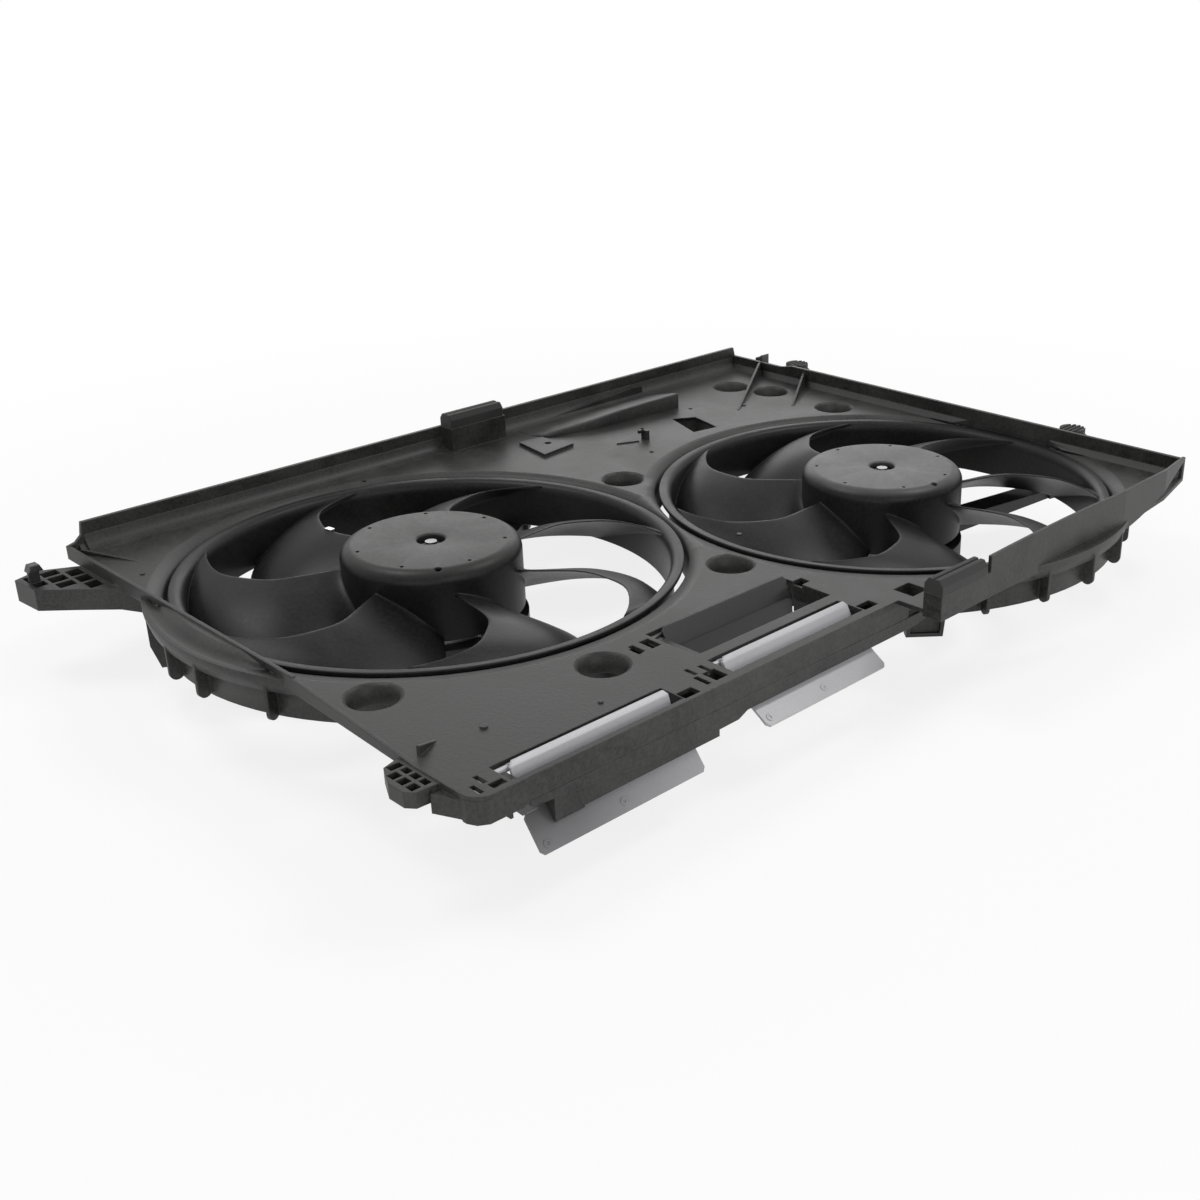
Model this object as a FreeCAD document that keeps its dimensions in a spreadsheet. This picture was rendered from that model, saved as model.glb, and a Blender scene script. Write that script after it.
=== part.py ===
# Twin radiator fan shroud: one moulded panel, two motor driven impellers and three ram-air flaps.
# Frame: origin at the centre of the first motor's flat back, X along the panel, Z up towards the radiator.
import FreeCAD, Part
import math
import os
import re
import Sketcher
from FreeCAD import Placement, Rotation, Vector
from types import SimpleNamespace

os.makedirs("parts", exist_ok=True)
doc = FreeCAD.newDocument("FanShroud")

# Driving dimensions in millimetres and degrees. Heights called Drop lie below the plate's upper face.
SIZES = {
    "PlateTop": 72.0,
    "PlateThick": 3.0,
    "FanPitchX": 327.5,
    "FanPitchY": -127.0,
    "BladeCount": 7,
    "FirstBlade": -112.0,
    "SecondBlade": -87.8,
    "LipRadius": 170.7,
    "RingGap": 3.5,
    "RingWall": 3.5,
    "RingDrop": 30.0,
    "RimFlare": 9.5,
    "BandInner": 161.0,
    "BandWall": 2.5,
    "BandDrop": 35.0,
    "HubRadius": 61.0,
    "HubWall": 2.5,
    "HubRise": 15.0,
    "HubDrop": 34.0,
    "HubEdge": 9.0,
    "HubRecess": 11.0,
    "BladeThick": 3.0,
    "BladeCamber": 3.0,
    "BladeTopDrop": 2.0,
    "BladeLowDrop": 33.0,
    "PinCircle": 50.0,
    "ShaftRadius": 4.0,
    "ShaftFit": 0.05,
    "PressGap": 0.02,
    "CanRadius": 46.0,
    "CanWall": 1.8,
    "CanTopDrop": 6.0,
    "BearingRadius": 11.0,
    "MagnetGap": 0.8,
    "MagnetThick": 9.8,
    "EarReach": 20.0,
    "EarDrop": 40.0,
    "EarThick": 2.5,
    "CradleThick": 14.0,
    "CradleGap": 1.0,
    "CradleRim": 16.0,
    "ArmWidth": 17.0,
    "ArmRise": 2.5,
    "ArmTip": 7.0,
    "ScrewRadius": 2.5,
    "ScrewOut": 10.0,
    "BackY": 195.0,
    "RightX": 500.0,
    "LeftX": -165.5,
    "CornerX": -172.0,
    "FrontY": -272.0,
    "StripY": -305.0,
    "StepX": 200.0,
    "WallThick": 3.0,
    "LipThick": 2.5,
    "BackRise": 19.5,
    "RightRise": 15.0,
    "StripRise": 24.0,
    "LeftRise": 4.5,
    "FlangeDrop": 20.0,
    "HoleRadius": 15.0,
    "HoleSleeve": 12.0,
    "HingeDrop": 3.5,
    "HingeRod": 2.0,
    "HingeFit": 0.08,
    "HingeInset": 2.6,
    "FlapWidth": 108.0,
    "FlapUpper": 26.0,
    "FlapLower": 24.0,
    "FlapThick": 1.8,
    "FlapBend": 16.0,
    "FlapEndGap": 3.0,
    "PadRadius": 10.5,
}
sheet = doc.addObject("Spreadsheet::Sheet", "Sizes")
for row, (alias, value) in enumerate(SIZES.items(), start=1):
    sheet.set("A%d" % row, alias)
    sheet.set("B%d" % row, str(value))
    sheet.setAlias("B%d" % row, alias)
doc.recompute()
d = SimpleNamespace(**{alias: float(getattr(sheet, alias)) for alias in SIZES})

# The fan axes, and the heights that several pieces share
AXES = {1: (0.0, 0.0), 2: (d.FanPitchX, d.FanPitchY)}
ARM_ANGLES = {1: (154.0, 34.0, -86.0), 2: (-12.0, 108.0, -132.0)}
RING_BORE = d.LipRadius + d.RingGap
RING_OUTER = RING_BORE + d.RingWall
PLATE_LOW = d.PlateTop - d.PlateThick
ARM_END = RING_BORE + 0.5 * d.RingWall


def bound(text):
    """Puts the sheet's name before each size in an expression."""
    return re.sub(r"\b([A-Z]\w+)", r"Sizes.\1", text)


def place(obj, x, y, z):
    for axis, text in zip("xyz", (x, y, z)):
        obj.setExpression("Placement.Base." + axis, bound(text))
    return obj


def cylinder(name, radius, height, at):
    obj = doc.addObject("Part::Cylinder", name)
    obj.setExpression("Radius", bound(radius))
    obj.setExpression("Height", bound(height))
    return place(obj, *at)


def box(name, length, width, height, at):
    obj = doc.addObject("Part::Box", name)
    obj.setExpression("Length", bound(length))
    obj.setExpression("Width", bound(width))
    obj.setExpression("Height", bound(height))
    return place(obj, *at)


def cut(name, base, tool):
    obj = doc.addObject("Part::Cut", name)
    obj.Base = base
    obj.Tool = tool
    return obj


def fuse(name, pieces):
    obj = doc.addObject("Part::MultiFuse", name)
    obj.Shapes = pieces
    return obj


def tube(name, outer, inner, height, at):
    """A ring of two bound cylinders."""
    solid = cylinder(name + "_outer", outer, height, at)
    hole = cylinder(name + "_bore", inner, height, at)
    return cut(name, solid, hole)


def named(obj, label):
    obj.Label = label
    NODES.append(obj)
    return obj


def feature(label, shape, at=None, turn=0.0):
    """A piece whose free form is made by Part's own functions."""
    obj = doc.addObject("Part::Feature", label)
    obj.Shape = shape
    if at is not None:
        obj.Placement = Placement(Vector(*at), Rotation(Vector(0, 0, 1), turn))
    return named(obj, label)


def revolved(points):
    """Solid of a closed profile of (radius, height) points turned about Z."""
    ring = [Vector(radius, 0, height) for radius, height in points]
    face = Part.Face(Part.makePolygon(ring + ring[:1]))
    return face.revolve(Vector(0, 0, 0), Vector(0, 0, 1), 360)


def prism(points, low, high, axis="z"):
    """Flat outline between two levels; the outline lies in XY, XZ (axis y) or YZ (axis x)."""
    if axis == "z":
        ring = [Vector(x, y, low) for x, y in points]
        way = Vector(0, 0, high - low)
    elif axis == "y":
        ring = [Vector(x, low, z) for x, z in points]
        way = Vector(0, high - low, 0)
    else:
        ring = [Vector(low, y, z) for y, z in points]
        way = Vector(high - low, 0, 0)
    return Part.Face(Part.makePolygon(ring + ring[:1])).extrude(way)


def block(x0, x1, y0, y1, z0, z1):
    return Part.makeBox(x1 - x0, y1 - y0, z1 - z0, Vector(x0, y0, z0))


def turned(shape, angle, x=0.0, y=0.0):
    copy = shape.copy()
    copy.rotate(Vector(x, y, 0), Vector(0, 0, 1), angle)
    return copy


def between(value, xs, ys):
    """Smooth interpolation in a short list of stations, with the slope at each taken from its neighbours."""
    if value <= xs[0]:
        return ys[0]
    if value >= xs[-1]:
        return ys[-1]
    i = max(k for k in range(len(xs) - 1) if xs[k] <= value)
    slopes = []
    for k in (i, i + 1):
        before, after = max(k - 1, 0), min(k + 1, len(xs) - 1)
        slopes.append((ys[after] - ys[before]) / (xs[after] - xs[before]))
    width = xs[i + 1] - xs[i]
    t = (value - xs[i]) / width
    return (ys[i] * (1 - t) ** 2 * (1 + 2 * t) + ys[i + 1] * t * t * (3 - 2 * t)
            + width * t * (1 - t) * (slopes[0] * (1 - t) - slopes[1] * t))


NODES = []

# Impeller: hub cup, seven swept blades and the outer band are one moulding.
# Blade edges as angles from the root of the upper edge, at shares of the way from hub to band.
SPAN = (0.0, 0.28, 0.45, 0.62, 0.78, 0.88, 1.0, 1.12)
UPPER_EDGE = (0.0, 4.0, 4.5, 1.0, -3.5, -9.0, -18.0, -30.0)
LOWER_EDGE = (52.0, 48.5, 43.0, 36.0, 28.0, 22.0, 14.0, 6.0)
BLADE_PLANES = 8


def blade_edge(plane, middle, edge):
    """Where the edge curve crosses a plane at a distance from the axis; gives the offset along the plane."""
    offset = 0.0
    for _ in range(60):
        radius = math.hypot(plane, offset)
        share = (radius - d.HubRadius) / (d.BandInner - d.HubRadius)
        angle = between(share, SPAN, edge) - middle
        offset = 0.5 * offset + 0.5 * plane * math.tan(math.radians(max(-70, min(70, angle))))
    return offset


def blade_section(plane, middle):
    """Closed crescent in one plane: two arcs from the upper edge to the lower edge, joined by short lines."""
    start = blade_edge(plane, middle, UPPER_EDGE)
    end = blade_edge(plane, middle, LOWER_EDGE)
    high = d.PlateTop - d.BladeTopDrop
    low = d.PlateTop - d.BladeLowDrop
    slope = math.atan2(high - low, end - start)
    rows = []
    for side in (1, -1):
        row = []
        for share, thick in ((0.0, 0.4), (0.5, 1.0), (1.0, 0.4)):
            half = 0.5 * side * thick * d.BladeThick
            y = start + share * (end - start) + half * math.sin(slope)
            z = high + share * (low - high) + d.BladeCamber * math.sin(math.pi * share) + half * math.cos(slope)
            row.append(Vector(plane, y, z))
        rows.append(row)
    upper, lower = rows
    return Part.Wire([
        Part.Arc(*upper).toShape(),
        Part.LineSegment(upper[2], lower[2]).toShape(),
        Part.Arc(*lower[::-1]).toShape(),
        Part.LineSegment(lower[0], upper[0]).toShape(),
    ])


def impeller_shape():
    top = d.PlateTop + d.HubRise
    low = d.PlateTop - d.HubDrop
    floor = top - 6.0
    shaft_bore = d.ShaftRadius + d.ShaftFit
    inner = d.HubRadius - d.HubWall
    boss_low = d.PlateTop - 2.0
    rounding = [(d.HubRadius - d.HubEdge * (1 - math.sin(t)), top - d.HubEdge * (1 - math.cos(t)))
                for t in (0.0, 0.35, 0.75, 1.15, 0.5 * math.pi)]
    cup = revolved([
        (d.HubRecess, floor), (d.HubRecess, top), *rounding, (d.HubRadius, low), (inner, low),
        (inner, top - d.HubEdge), (inner - d.HubEdge + d.HubWall, top - d.HubWall),
        (d.HubRecess + 4.0, top - d.HubWall), (d.HubRecess + 2.0, floor - d.HubWall),
        (9.0, floor - d.HubWall), (9.0, boss_low), (shaft_bore, boss_low), (shaft_bore, floor),
    ])
    lip = d.PlateTop - 0.5
    band_low = d.PlateTop - d.BandDrop
    band_out = d.BandInner + d.BandWall
    band = revolved([
        (band_out, band_low), (band_out, lip - 5.5), (band_out + 2.5, lip - 2.5),
        (d.LipRadius, lip - 2.5), (d.LipRadius, lip), (d.BandInner + 6.0, lip), (d.BandInner + 3.0, lip - 1.0),
        (d.BandInner + 0.9, lip - 3.4), (d.BandInner, lip - 7.5), (d.BandInner, band_low),
    ])
    first = math.radians(0.5 * (UPPER_EDGE[2] + LOWER_EDGE[2]))
    middle = math.degrees(first)
    nearest = 0.74 * d.HubRadius
    farthest = d.BandInner + 12.0
    sections = []
    for i in range(BLADE_PLANES):
        plane = nearest + (farthest - nearest) * i / (BLADE_PLANES - 1)
        sections.append(blade_section(plane, middle))
    blade = Part.makeLoft(sections, True, True)
    within = band_out - 0.5 * d.BandWall
    keep = revolved([
        (d.HubRadius - 0.6 * d.HubWall, 0.0), (within, 0.0), (within, lip - 7.0), (within + 2.2, lip - 3.0),
        (within + 2.2, 2 * d.PlateTop), (d.HubRadius - 0.6 * d.HubWall, 2 * d.PlateTop),
    ])
    blade = blade.common(keep)
    pieces = [band]
    rib = block(8.0, inner + 0.5, -0.8, 0.8, top - d.HubWall - 6.5, top - d.HubWall + 0.5)
    count = int(round(d.BladeCount))
    for i in range(count):
        turn = 360.0 * i / count
        pieces.append(turned(blade, turn + middle))
        pieces.append(turned(rib, turn + 20.0))
    whole = cup.fuse(pieces)
    holes = []
    for i in range(count):
        turn = math.radians(118.8 + 360.0 * i / count)
        at = Vector(d.PinCircle * math.cos(turn), d.PinCircle * math.sin(turn), top - 1.5)
        holes.append(Part.makeCylinder(1.1, 4.0, at))
    side = math.radians(-9.0)
    at = Vector(54.0 * math.cos(side), 54.0 * math.sin(side), top - 2.0)
    holes.append(Part.makeCylinder(2.0, 4.0, at))
    return whole.cut(holes)


impeller = impeller_shape()
feature("impeller_left", impeller, (0, 0, 0), d.FirstBlade)
feature("impeller_right", impeller, (*AXES[2], 0), d.SecondBlade)

# Motors: drawn steel can with a flat back, end plate, bearings, magnets, armature and brush gear.


def motor(side, number):
    x = "0" if number == 1 else "FanPitchX"
    y = "0" if number == 1 else "FanPitchY"
    px, py = AXES[number]

    def at(z):
        return (x, y, z)

    can_wall = tube("can_wall_" + side, "CanRadius", "CanRadius - CanWall", "PlateTop - CanTopDrop", at("0"))
    can_back = cylinder("can_back_" + side, "CanRadius", "CanWall", at("0"))
    seat = tube("can_seat_" + side, "BearingRadius + 2", "BearingRadius + PressGap", "CanWall + 8", at("0"))
    named(fuse("motor_can_" + side, [can_wall, can_back, seat]), "motor_can_" + side)

    plate = tube("end_flat_" + side, "CanRadius", "BearingRadius + ShaftFit", "2.5", at("PlateTop - CanTopDrop"))
    collar = tube("end_collar_" + side, "BearingRadius + 2.5", "BearingRadius + ShaftFit", "8",
                  at("PlateTop - CanTopDrop - 7"))
    named(fuse("motor_end_plate_" + side, [plate, collar]), "motor_end_plate_" + side)

    named(tube("rear_bearing_" + side, "BearingRadius", "ShaftRadius + ShaftFit", "7", at("CanWall")),
          "rear_bearing_" + side)
    named(tube("front_bearing_" + side, "BearingRadius", "ShaftRadius + ShaftFit", "7",
               at("PlateTop - CanTopDrop - 6")), "front_bearing_" + side)
    named(cylinder("motor_shaft_" + side, "ShaftRadius", "PlateTop + HubRise - 1.5 - CanWall - 0.5",
                   at("CanWall + 0.5")), "motor_shaft_" + side)

    face = "CanRadius - CanWall - MagnetThick - MagnetGap"
    core = tube("core_" + side, face, "ShaftRadius + PressGap", "30", at("15"))
    coils = tube("coils_" + side, face + " - 6", "ShaftRadius + PressGap", "38", at("11"))
    named(fuse("armature_" + side, [core, coils]), "armature_" + side)
    named(tube("commutator_" + side, "12", "ShaftRadius + PressGap", "9", at("49.5")), "commutator_" + side)

    outer = d.CanRadius - d.CanWall
    inner = outer - d.MagnetThick
    ring = revolved([(inner, 13.0), (outer, 13.0), (outer, 47.0), (inner, 47.0)])
    gap = block(-outer - 5, outer + 5, -5.0, 5.0, 10.0, 50.0)
    gaps = [turned(gap, 45.0), turned(gap, 135.0)]
    feature("magnets_" + side, ring.cut(gaps), (px, py, 0))

    card = revolved([(17.0, 52.0), (d.CanRadius - d.CanWall - 0.3, 52.0), (d.CanRadius - d.CanWall - 0.3, 55.0),
                     (17.0, 55.0)])
    feature("brush_card_" + side, card, (px, py, 0))
    brush = block(12.3, 24.0, -2.5, 2.5, 55.0, 58.3)
    feature("brushes_" + side, Part.makeCompound([brush, turned(brush, 180.0)]), (px, py, 0))

    # Steel mounting ring with three ears, seated on the moulded support
    ear_top = d.PlateTop - d.EarDrop + d.EarThick
    ear_low = d.PlateTop - d.EarDrop
    hold = d.CanRadius + d.ShaftFit
    ears = [revolved([(hold, ear_low), (hold + 6.0, ear_low), (hold + 6.0, ear_top), (hold, ear_top)])]
    screws = []
    tabs = []
    for angle in ARM_ANGLES[number]:
        tabs.append(turned(block(d.CanRadius + 1.0, d.CanRadius + d.EarReach - 5.0, -8.0, 8.0, ear_low, ear_top),
                           angle))
        far = math.radians(angle)
        spot = Vector((d.CanRadius + d.ScrewOut) * math.cos(far), (d.CanRadius + d.ScrewOut) * math.sin(far), ear_low)
        tabs.append(Part.makeCylinder(8.0, d.EarThick, spot))
        shank = Part.makeCylinder(d.ScrewRadius, 12.0, spot + Vector(0, 0, d.EarThick - 12.0))
        head = Part.makeCylinder(2 * d.ScrewRadius, 2.6, spot + Vector(0, 0, d.EarThick))
        screws.append(shank.fuse(head))
    flange = ears[0].fuse(tabs)
    bores = []
    for screw in screws:
        middle = screw.BoundBox.Center
        bores.append(Part.makeCylinder(d.ScrewRadius + 0.2, 10.0, Vector(middle.x, middle.y, ear_low - 3.0)))
    feature("motor_flange_" + side, flange.cut(bores), (px, py, 0))
    feature("motor_screws_" + side, Part.makeCompound(screws), (px, py, 0))
    nut = cylinder("nut_round_" + side, "8", "4", at("PlateTop + HubRise - 6"))
    hole = cylinder("nut_bore_" + side, "ShaftRadius + ShaftFit", "4", at("PlateTop + HubRise - 6"))
    named(cut("hub_nut_" + side, nut, hole), "hub_nut_" + side)


motor("left", 1)
motor("right", 2)


# Motor supports: a ring round the can, carried by three arms to the barrel. Moulded in one with the panel.
def support_shape(number):
    top = d.PlateTop - d.EarDrop
    low = top - d.CradleThick
    inner = d.CanRadius + d.CradleGap
    ring = revolved([(inner, low), (inner + 3.0, low), (inner + 3.0, top - 3.0), (inner + d.CradleRim - 3, top - 3),
                     (inner + d.CradleRim - 3, low), (inner + d.CradleRim, low), (inner + d.CradleRim, top),
                     (inner, top)])
    pieces = []
    half = 0.5 * d.ArmWidth
    start = inner + d.CradleRim - 1.0
    end = ARM_END
    tip_top, tip_low = top + d.ArmRise, top + d.ArmRise - d.ArmTip
    for angle in ARM_ANGLES[number]:
        web = prism([(start, top - 3.0), (end, tip_top - 3.0), (end, tip_top), (start, top)], -half, half, "y")
        sides = [prism([(start, low), (end, tip_low), (end, tip_top), (start, top)], s * half - 1.25, s * half + 1.25,
                       "y") for s in (-1, 1)]
        root = block(end - 3.0, end, -half - 4, half + 4, tip_low, tip_top)
        far = math.radians(angle)
        post = Part.makeCylinder(2.2 * d.ScrewRadius, d.CradleThick,
                                 Vector((d.CanRadius + d.ScrewOut) * math.cos(far), (d.CanRadius + d.ScrewOut) * math.sin(far), low))
        for piece in [web, root] + sides:
            pieces.append(turned(piece, angle))
        pieces.append(post)
    whole = ring.fuse(pieces)
    bores = []
    for angle in ARM_ANGLES[number]:
        far = math.radians(angle)
        bores.append(Part.makeCylinder(d.ScrewRadius, d.CradleThick + 2.0,
                                       Vector((d.CanRadius + d.ScrewOut) * math.cos(far), (d.CanRadius + d.ScrewOut) * math.sin(far), low - 1)))
    return whole.cut(bores)


feature("motor_support_left", support_shape(1), (0, 0, 0))
feature("motor_support_right", support_shape(2), (*AXES[2], 0))

# Shroud panel: plate, walls, barrels with ribs, brackets, holes and flap slots in one moulding.
HOLES = ((-142.6, -140.8), (-28.0, -204.2), (133.0, -153.0), (200.4, 27.3),
         (460.4, 32.3), (460.0, 108.0), (446.0, 146.0))
RIBS = {1: (-112, -134, -157, -175, 174, 150, 118, 96, 75, 20, -20, -45),
        2: (-60, -74, -89, -104, -119, -148, 150, 75, 50, 25, 5, -32)}
# Flap slots: left end of the flap, back edge of the slot, slot width, upper leaf's lean and the opening range
FLAPS = ((-141.0, -249.5, 18.5, 22.0), (24.0, -244.0, 21.0, 40.0), (28.0, -192.0, 43.0, 22.0))
LUG = 6.0


def ring_shape(number):
    top = d.PlateTop
    low = top - d.RingDrop
    flare = RING_OUTER + d.RimFlare
    return revolved([(RING_BORE, low), (RING_OUTER, low), (RING_OUTER, top - 14.0), (flare - 2.2, top - 10.5),
                     (flare, top - 3.0), (flare, top), (flare - 3.0, top), (RING_BORE, top - 2.0)])


def ring_ribs(number):
    """Stiffening fins outside the barrel with rounded lower ends."""
    fins = []
    low = d.PlateTop - d.RingDrop
    reach = RING_OUTER + d.RimFlare - 1.0
    for angle in RIBS[number]:
        fin = block(RING_OUTER - 1.0, reach, -1.2, 1.2, low + 4.0, PLATE_LOW)
        toe = Part.makeCylinder(0.5 * (reach - RING_OUTER + 1.0), 2.4,
                                Vector(0.5 * (reach + RING_OUTER - 1.0), 1.2, low + 4.0), Vector(0, -1, 0))
        fins.append(turned(fin.fuse(toe), angle))
    return fins


def support_legs(number):
    """Hollow legs that carry the motor support's arms down from the barrel."""
    low = d.PlateTop - d.EarDrop + d.ArmRise - d.ArmTip
    half = 0.5 * d.ArmWidth + 4.0
    legs = []
    for angle in ARM_ANGLES[number]:
        leg = prism([(ARM_END, low), (RING_OUTER + 3.0, low), (RING_OUTER + 8.0, low + 16.0),
                     (RING_OUTER + 8.0, PLATE_LOW), (ARM_END, PLATE_LOW)], -half, half, "y")
        pocket = prism([(ARM_END + 3.0, low + 3.0), (RING_OUTER + 4.0, low + 3.0), (RING_OUTER + 9.0, low + 18.0),
                        (RING_OUTER + 9.0, PLATE_LOW - 2.0), (ARM_END + 3.0, PLATE_LOW - 2.0)],
                       -half + 2.5, half - 2.5, "y")
        legs.append(turned(leg.cut(pocket), angle))
    return legs


def moved(shape, x, y, z=0.0):
    copy = shape.copy()
    copy.translate(Vector(x, y, z))
    return copy


def strip_shape():
    """Front right wall: a thin bent strip whose lower edge sweeps up to the corner."""
    back = d.StripY + d.LipThick
    end = d.StripY + 18.0
    start = d.StepX + 14.0
    plan = prism([(start, d.StripY), (d.RightX - 120, d.StripY), (d.RightX - 50, d.StripY + 6.5),
                  (d.RightX, end), (d.RightX, end + d.LipThick), (d.RightX - 50, back + 6.5),
                  (d.RightX - 120, back), (start, back)], 0, 2 * d.PlateTop)
    top = Part.BSplineCurve()
    high = d.PlateTop + d.StripRise
    low = d.PlateTop - 7.0
    top.interpolate([Vector(d.StepX - 5, d.StripY - 5, high - 1), Vector(d.RightX - 150, d.StripY - 5, high + 0.8),
                     Vector(d.RightX - 60, d.StripY - 5, high - 3), Vector(d.RightX + 5, d.StripY - 5, high - 8.5)])
    bottom = Part.BSplineCurve()
    bottom.interpolate([Vector(d.RightX + 5, d.StripY - 5, d.PlateTop + 15), Vector(d.RightX - 30, d.StripY - 5, low + 15),
                        Vector(d.RightX - 90, d.StripY - 5, low + 3), Vector(d.RightX - 190, d.StripY - 5, low),
                        Vector(d.StepX - 5, d.StripY - 5, low + 2)])
    ends = [top.EndPoint, bottom.StartPoint, bottom.EndPoint, top.StartPoint]
    side = Part.Face(Part.Wire([top.toShape(), Part.LineSegment(ends[0], ends[1]).toShape(), bottom.toShape(),
                                Part.LineSegment(ends[2], ends[3]).toShape()])).extrude(Vector(0, 50, 0))
    return plan.common(side)


def panel_shape():
    top, low = d.PlateTop, PLATE_LOW
    wall, lip = d.WallThick, d.LipThick
    outline = [(d.LeftX, d.BackY), (d.LeftX, -80.0), (d.CornerX, -221.0), (d.CornerX, d.FrontY),
               (d.StepX, d.FrontY), (d.StepX, d.StripY), (d.RightX - 120, d.StripY),
               (d.RightX - 50, d.StripY + 6.5), (d.RightX, d.StripY + 18.0), (d.RightX, d.BackY)]
    plate = prism(outline, low, top)
    edge = [e for e in plate.Edges if e.Vertexes[0].X == e.Vertexes[-1].X == d.CornerX
            and e.Vertexes[0].Y == e.Vertexes[-1].Y == d.FrontY]
    plate = plate.makeFillet(12.0, edge)
    solids = []
    # Rear wall with its concave drop at the left end
    high = top + d.BackRise
    solids.append(prism([(d.LeftX, low), (d.RightX, low), (d.RightX, top + 12.0), (d.RightX - 2.0, high),
                         (d.LeftX + 12.0, high), (d.LeftX + 10.5, top + 10.0), (d.LeftX + 6.0, top + 6.0),
                         (d.LeftX, top + d.LeftRise)], d.BackY - wall, d.BackY, "y"))
    cove = prism([(d.BackY - wall - 4.0, top - 0.5), (d.BackY - wall, top - 0.5), (d.BackY - wall, top + 4.0)],
                 d.LeftX + 8.0, d.RightX - wall, "x")
    solids.append(cove)
    # Right wall, a little lower beside the rear corner, with a wide foot; it bridges the second fan's band
    late = [prism([(d.BackY, top + 1.2), (d.BackY, top + 12.0), (130.0, top + 12.0), (116.0, top + d.RightRise),
                   (d.StripY + 18.0, top + d.RightRise), (d.StripY + 18.0, top + 1.2)],
                  d.RightX - wall, d.RightX, "x")]
    solids.append(block(d.RightX - wall, d.RightX, d.StripY + 18.0, d.BackY, low, top + 2.0))
    solids.append(prism([(d.RightX - wall - 5.0, top - 0.5), (d.RightX - wall, top - 0.5),
                         (d.RightX - wall, top + 4.5)], d.StripY + 20.0, d.BackY, "y"))
    # Left lip, falling away towards the front corner
    plan = prism([(d.LeftX, d.BackY), (d.LeftX, -80.0), (d.CornerX, -221.0), (d.CornerX + lip, -221.0),
                  (d.LeftX + lip, -80.0), (d.LeftX + lip, d.BackY)], low - 2.0, top + 10.0)
    drop = prism([(d.BackY, low - 2.0), (d.BackY, top + d.LeftRise), (-80.0, top + d.LeftRise), (-221.0, top),
                  (-221.0, low - 2.0)], d.CornerX - 1, d.LeftX + lip + 1, "x")
    solids.append(plan.common(drop))
    # Front left flange, hanging down
    deep = top - d.FlangeDrop
    solids.append(prism([(d.CornerX + 12.0, low), (d.StepX, low), (d.StepX, top - 12.0), (d.StepX - 4.0, deep + 2.0),
                         (d.StepX - 12.0, deep), (40.0, deep - 1.0), (d.CornerX + 30.0, deep + 5.0),
                         (d.CornerX + 12.0, deep + 8.0)], d.FrontY, d.FrontY + lip, "y"))
    solids.append(prism([(-110.0, deep + 6.0), (0.0, deep + 6.0), (0.0, deep - 13.0), (-104.0, deep - 13.0)],
                        d.FrontY, d.FrontY + lip, "y"))
    late.append(strip_shape())
    # The flange goes on round the front left corner
    back, front = d.CornerX, d.FrontY
    skirt = prism([(back, -226.0), (back, front + 9.0), (back + 2.5, front + 3.5), (back + 8.0, front),
                   (back + 30.0, front), (back + 30.0, front + lip), (back + 9.5, front + lip),
                   (back + 6.0, front + 6.5), (back + lip, front + 11.0), (back + lip, -226.0)],
                  deep + 4.0, low + 0.5)
    solids.append(skirt.cut(prism([(-226.0, deep), (-226.0, low - 5.0), (front + 12.0, deep + 4.5),
                                   (front + 12.0, deep)], back - 1.0, back + lip + 1.0, "x")))
    # Clip blocks at the step of the front edge and on the rear wall
    solids.append(block(d.StepX - 38.0, d.StepX + 15.0, d.StripY, d.StripY + 14.0, top - 5.0, top + 12.5))
    solids.append(block(d.StepX - 38.0, d.StepX + 1.0, d.StripY + 10.0, d.FrontY + 2.0, low, top))
    solids.append(block(150.0, 205.0, d.BackY - 17.0, d.BackY, top - 1.0, top + d.BackRise))
    # Ledge in front of the rear wall and its taper
    solids.append(prism([(228.0, top - 0.5), (372.0, top - 0.5), (372.0, top + 8.5), (360.0, top + 9.0)],
                        137.0, d.BackY - 1.0, "y"))
    # Barrels
    for number, (x, y) in AXES.items():
        solids.append(moved(ring_shape(number), x, y))
        for fin in ring_ribs(number) + support_legs(number):
            solids.append(moved(fin, x, y))
    # Roofs where the left lip and the right wall bridge the bands
    inner = RING_BORE - 22.0
    roof = revolved([(inner, top + 1.2), (RING_BORE - 2.4, top + 1.2), (RING_BORE, top - 1.5), (RING_BORE, top - 6.0),
                     (RING_OUTER, top - 6.0), (RING_OUTER, top - 3.5), (RING_OUTER - 2.0, top + 1.0),
                     (RING_BORE - 4.0, top + 3.4), (inner, top + 3.4)])
    beyond = RING_OUTER + 15.0
    late.append(roof.common(block(-beyond, d.LeftX + lip, -beyond, beyond, top - 10.0, top + 10.0)))
    late.append(block(d.LeftX, d.LeftX + lip, -95.0, 95.0, top + 1.2, top + d.LeftRise))
    fan_x, fan_y = AXES[2]
    late.append(moved(roof, fan_x, fan_y).common(
        block(d.RightX - wall, d.RightX + 30.0, fan_y - beyond, fan_y + beyond, top - 10.0, top + 10.0)))
    # Sleeves of the round holes
    for x, y in HOLES:
        solids.append(Part.makeCylinder(d.HoleRadius + 2.0, d.HoleSleeve + 1.0, Vector(x, y, top - d.HoleSleeve - 1)))
    # Gussets on the right wall
    for x, y, far, near in ((d.RightX - wall, 156.0, 396.0, 89.0), (d.RightX - wall, 100.0, 438.0, 62.0)):
        run = math.hypot(x - far, y - near)
        fin = prism([(0.0, top - 0.5), (run, top - 0.5), (run, top + 11.5), (run - 3.0, top + 12.0), (0.0, top + 0.3)],
                    -1.0, 1.0, "y")
        fin.rotate(Vector(0, 0, 0), Vector(0, 0, 1), math.degrees(math.atan2(y - near, x - far)))
        solids.append(moved(fin, far, near))
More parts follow.
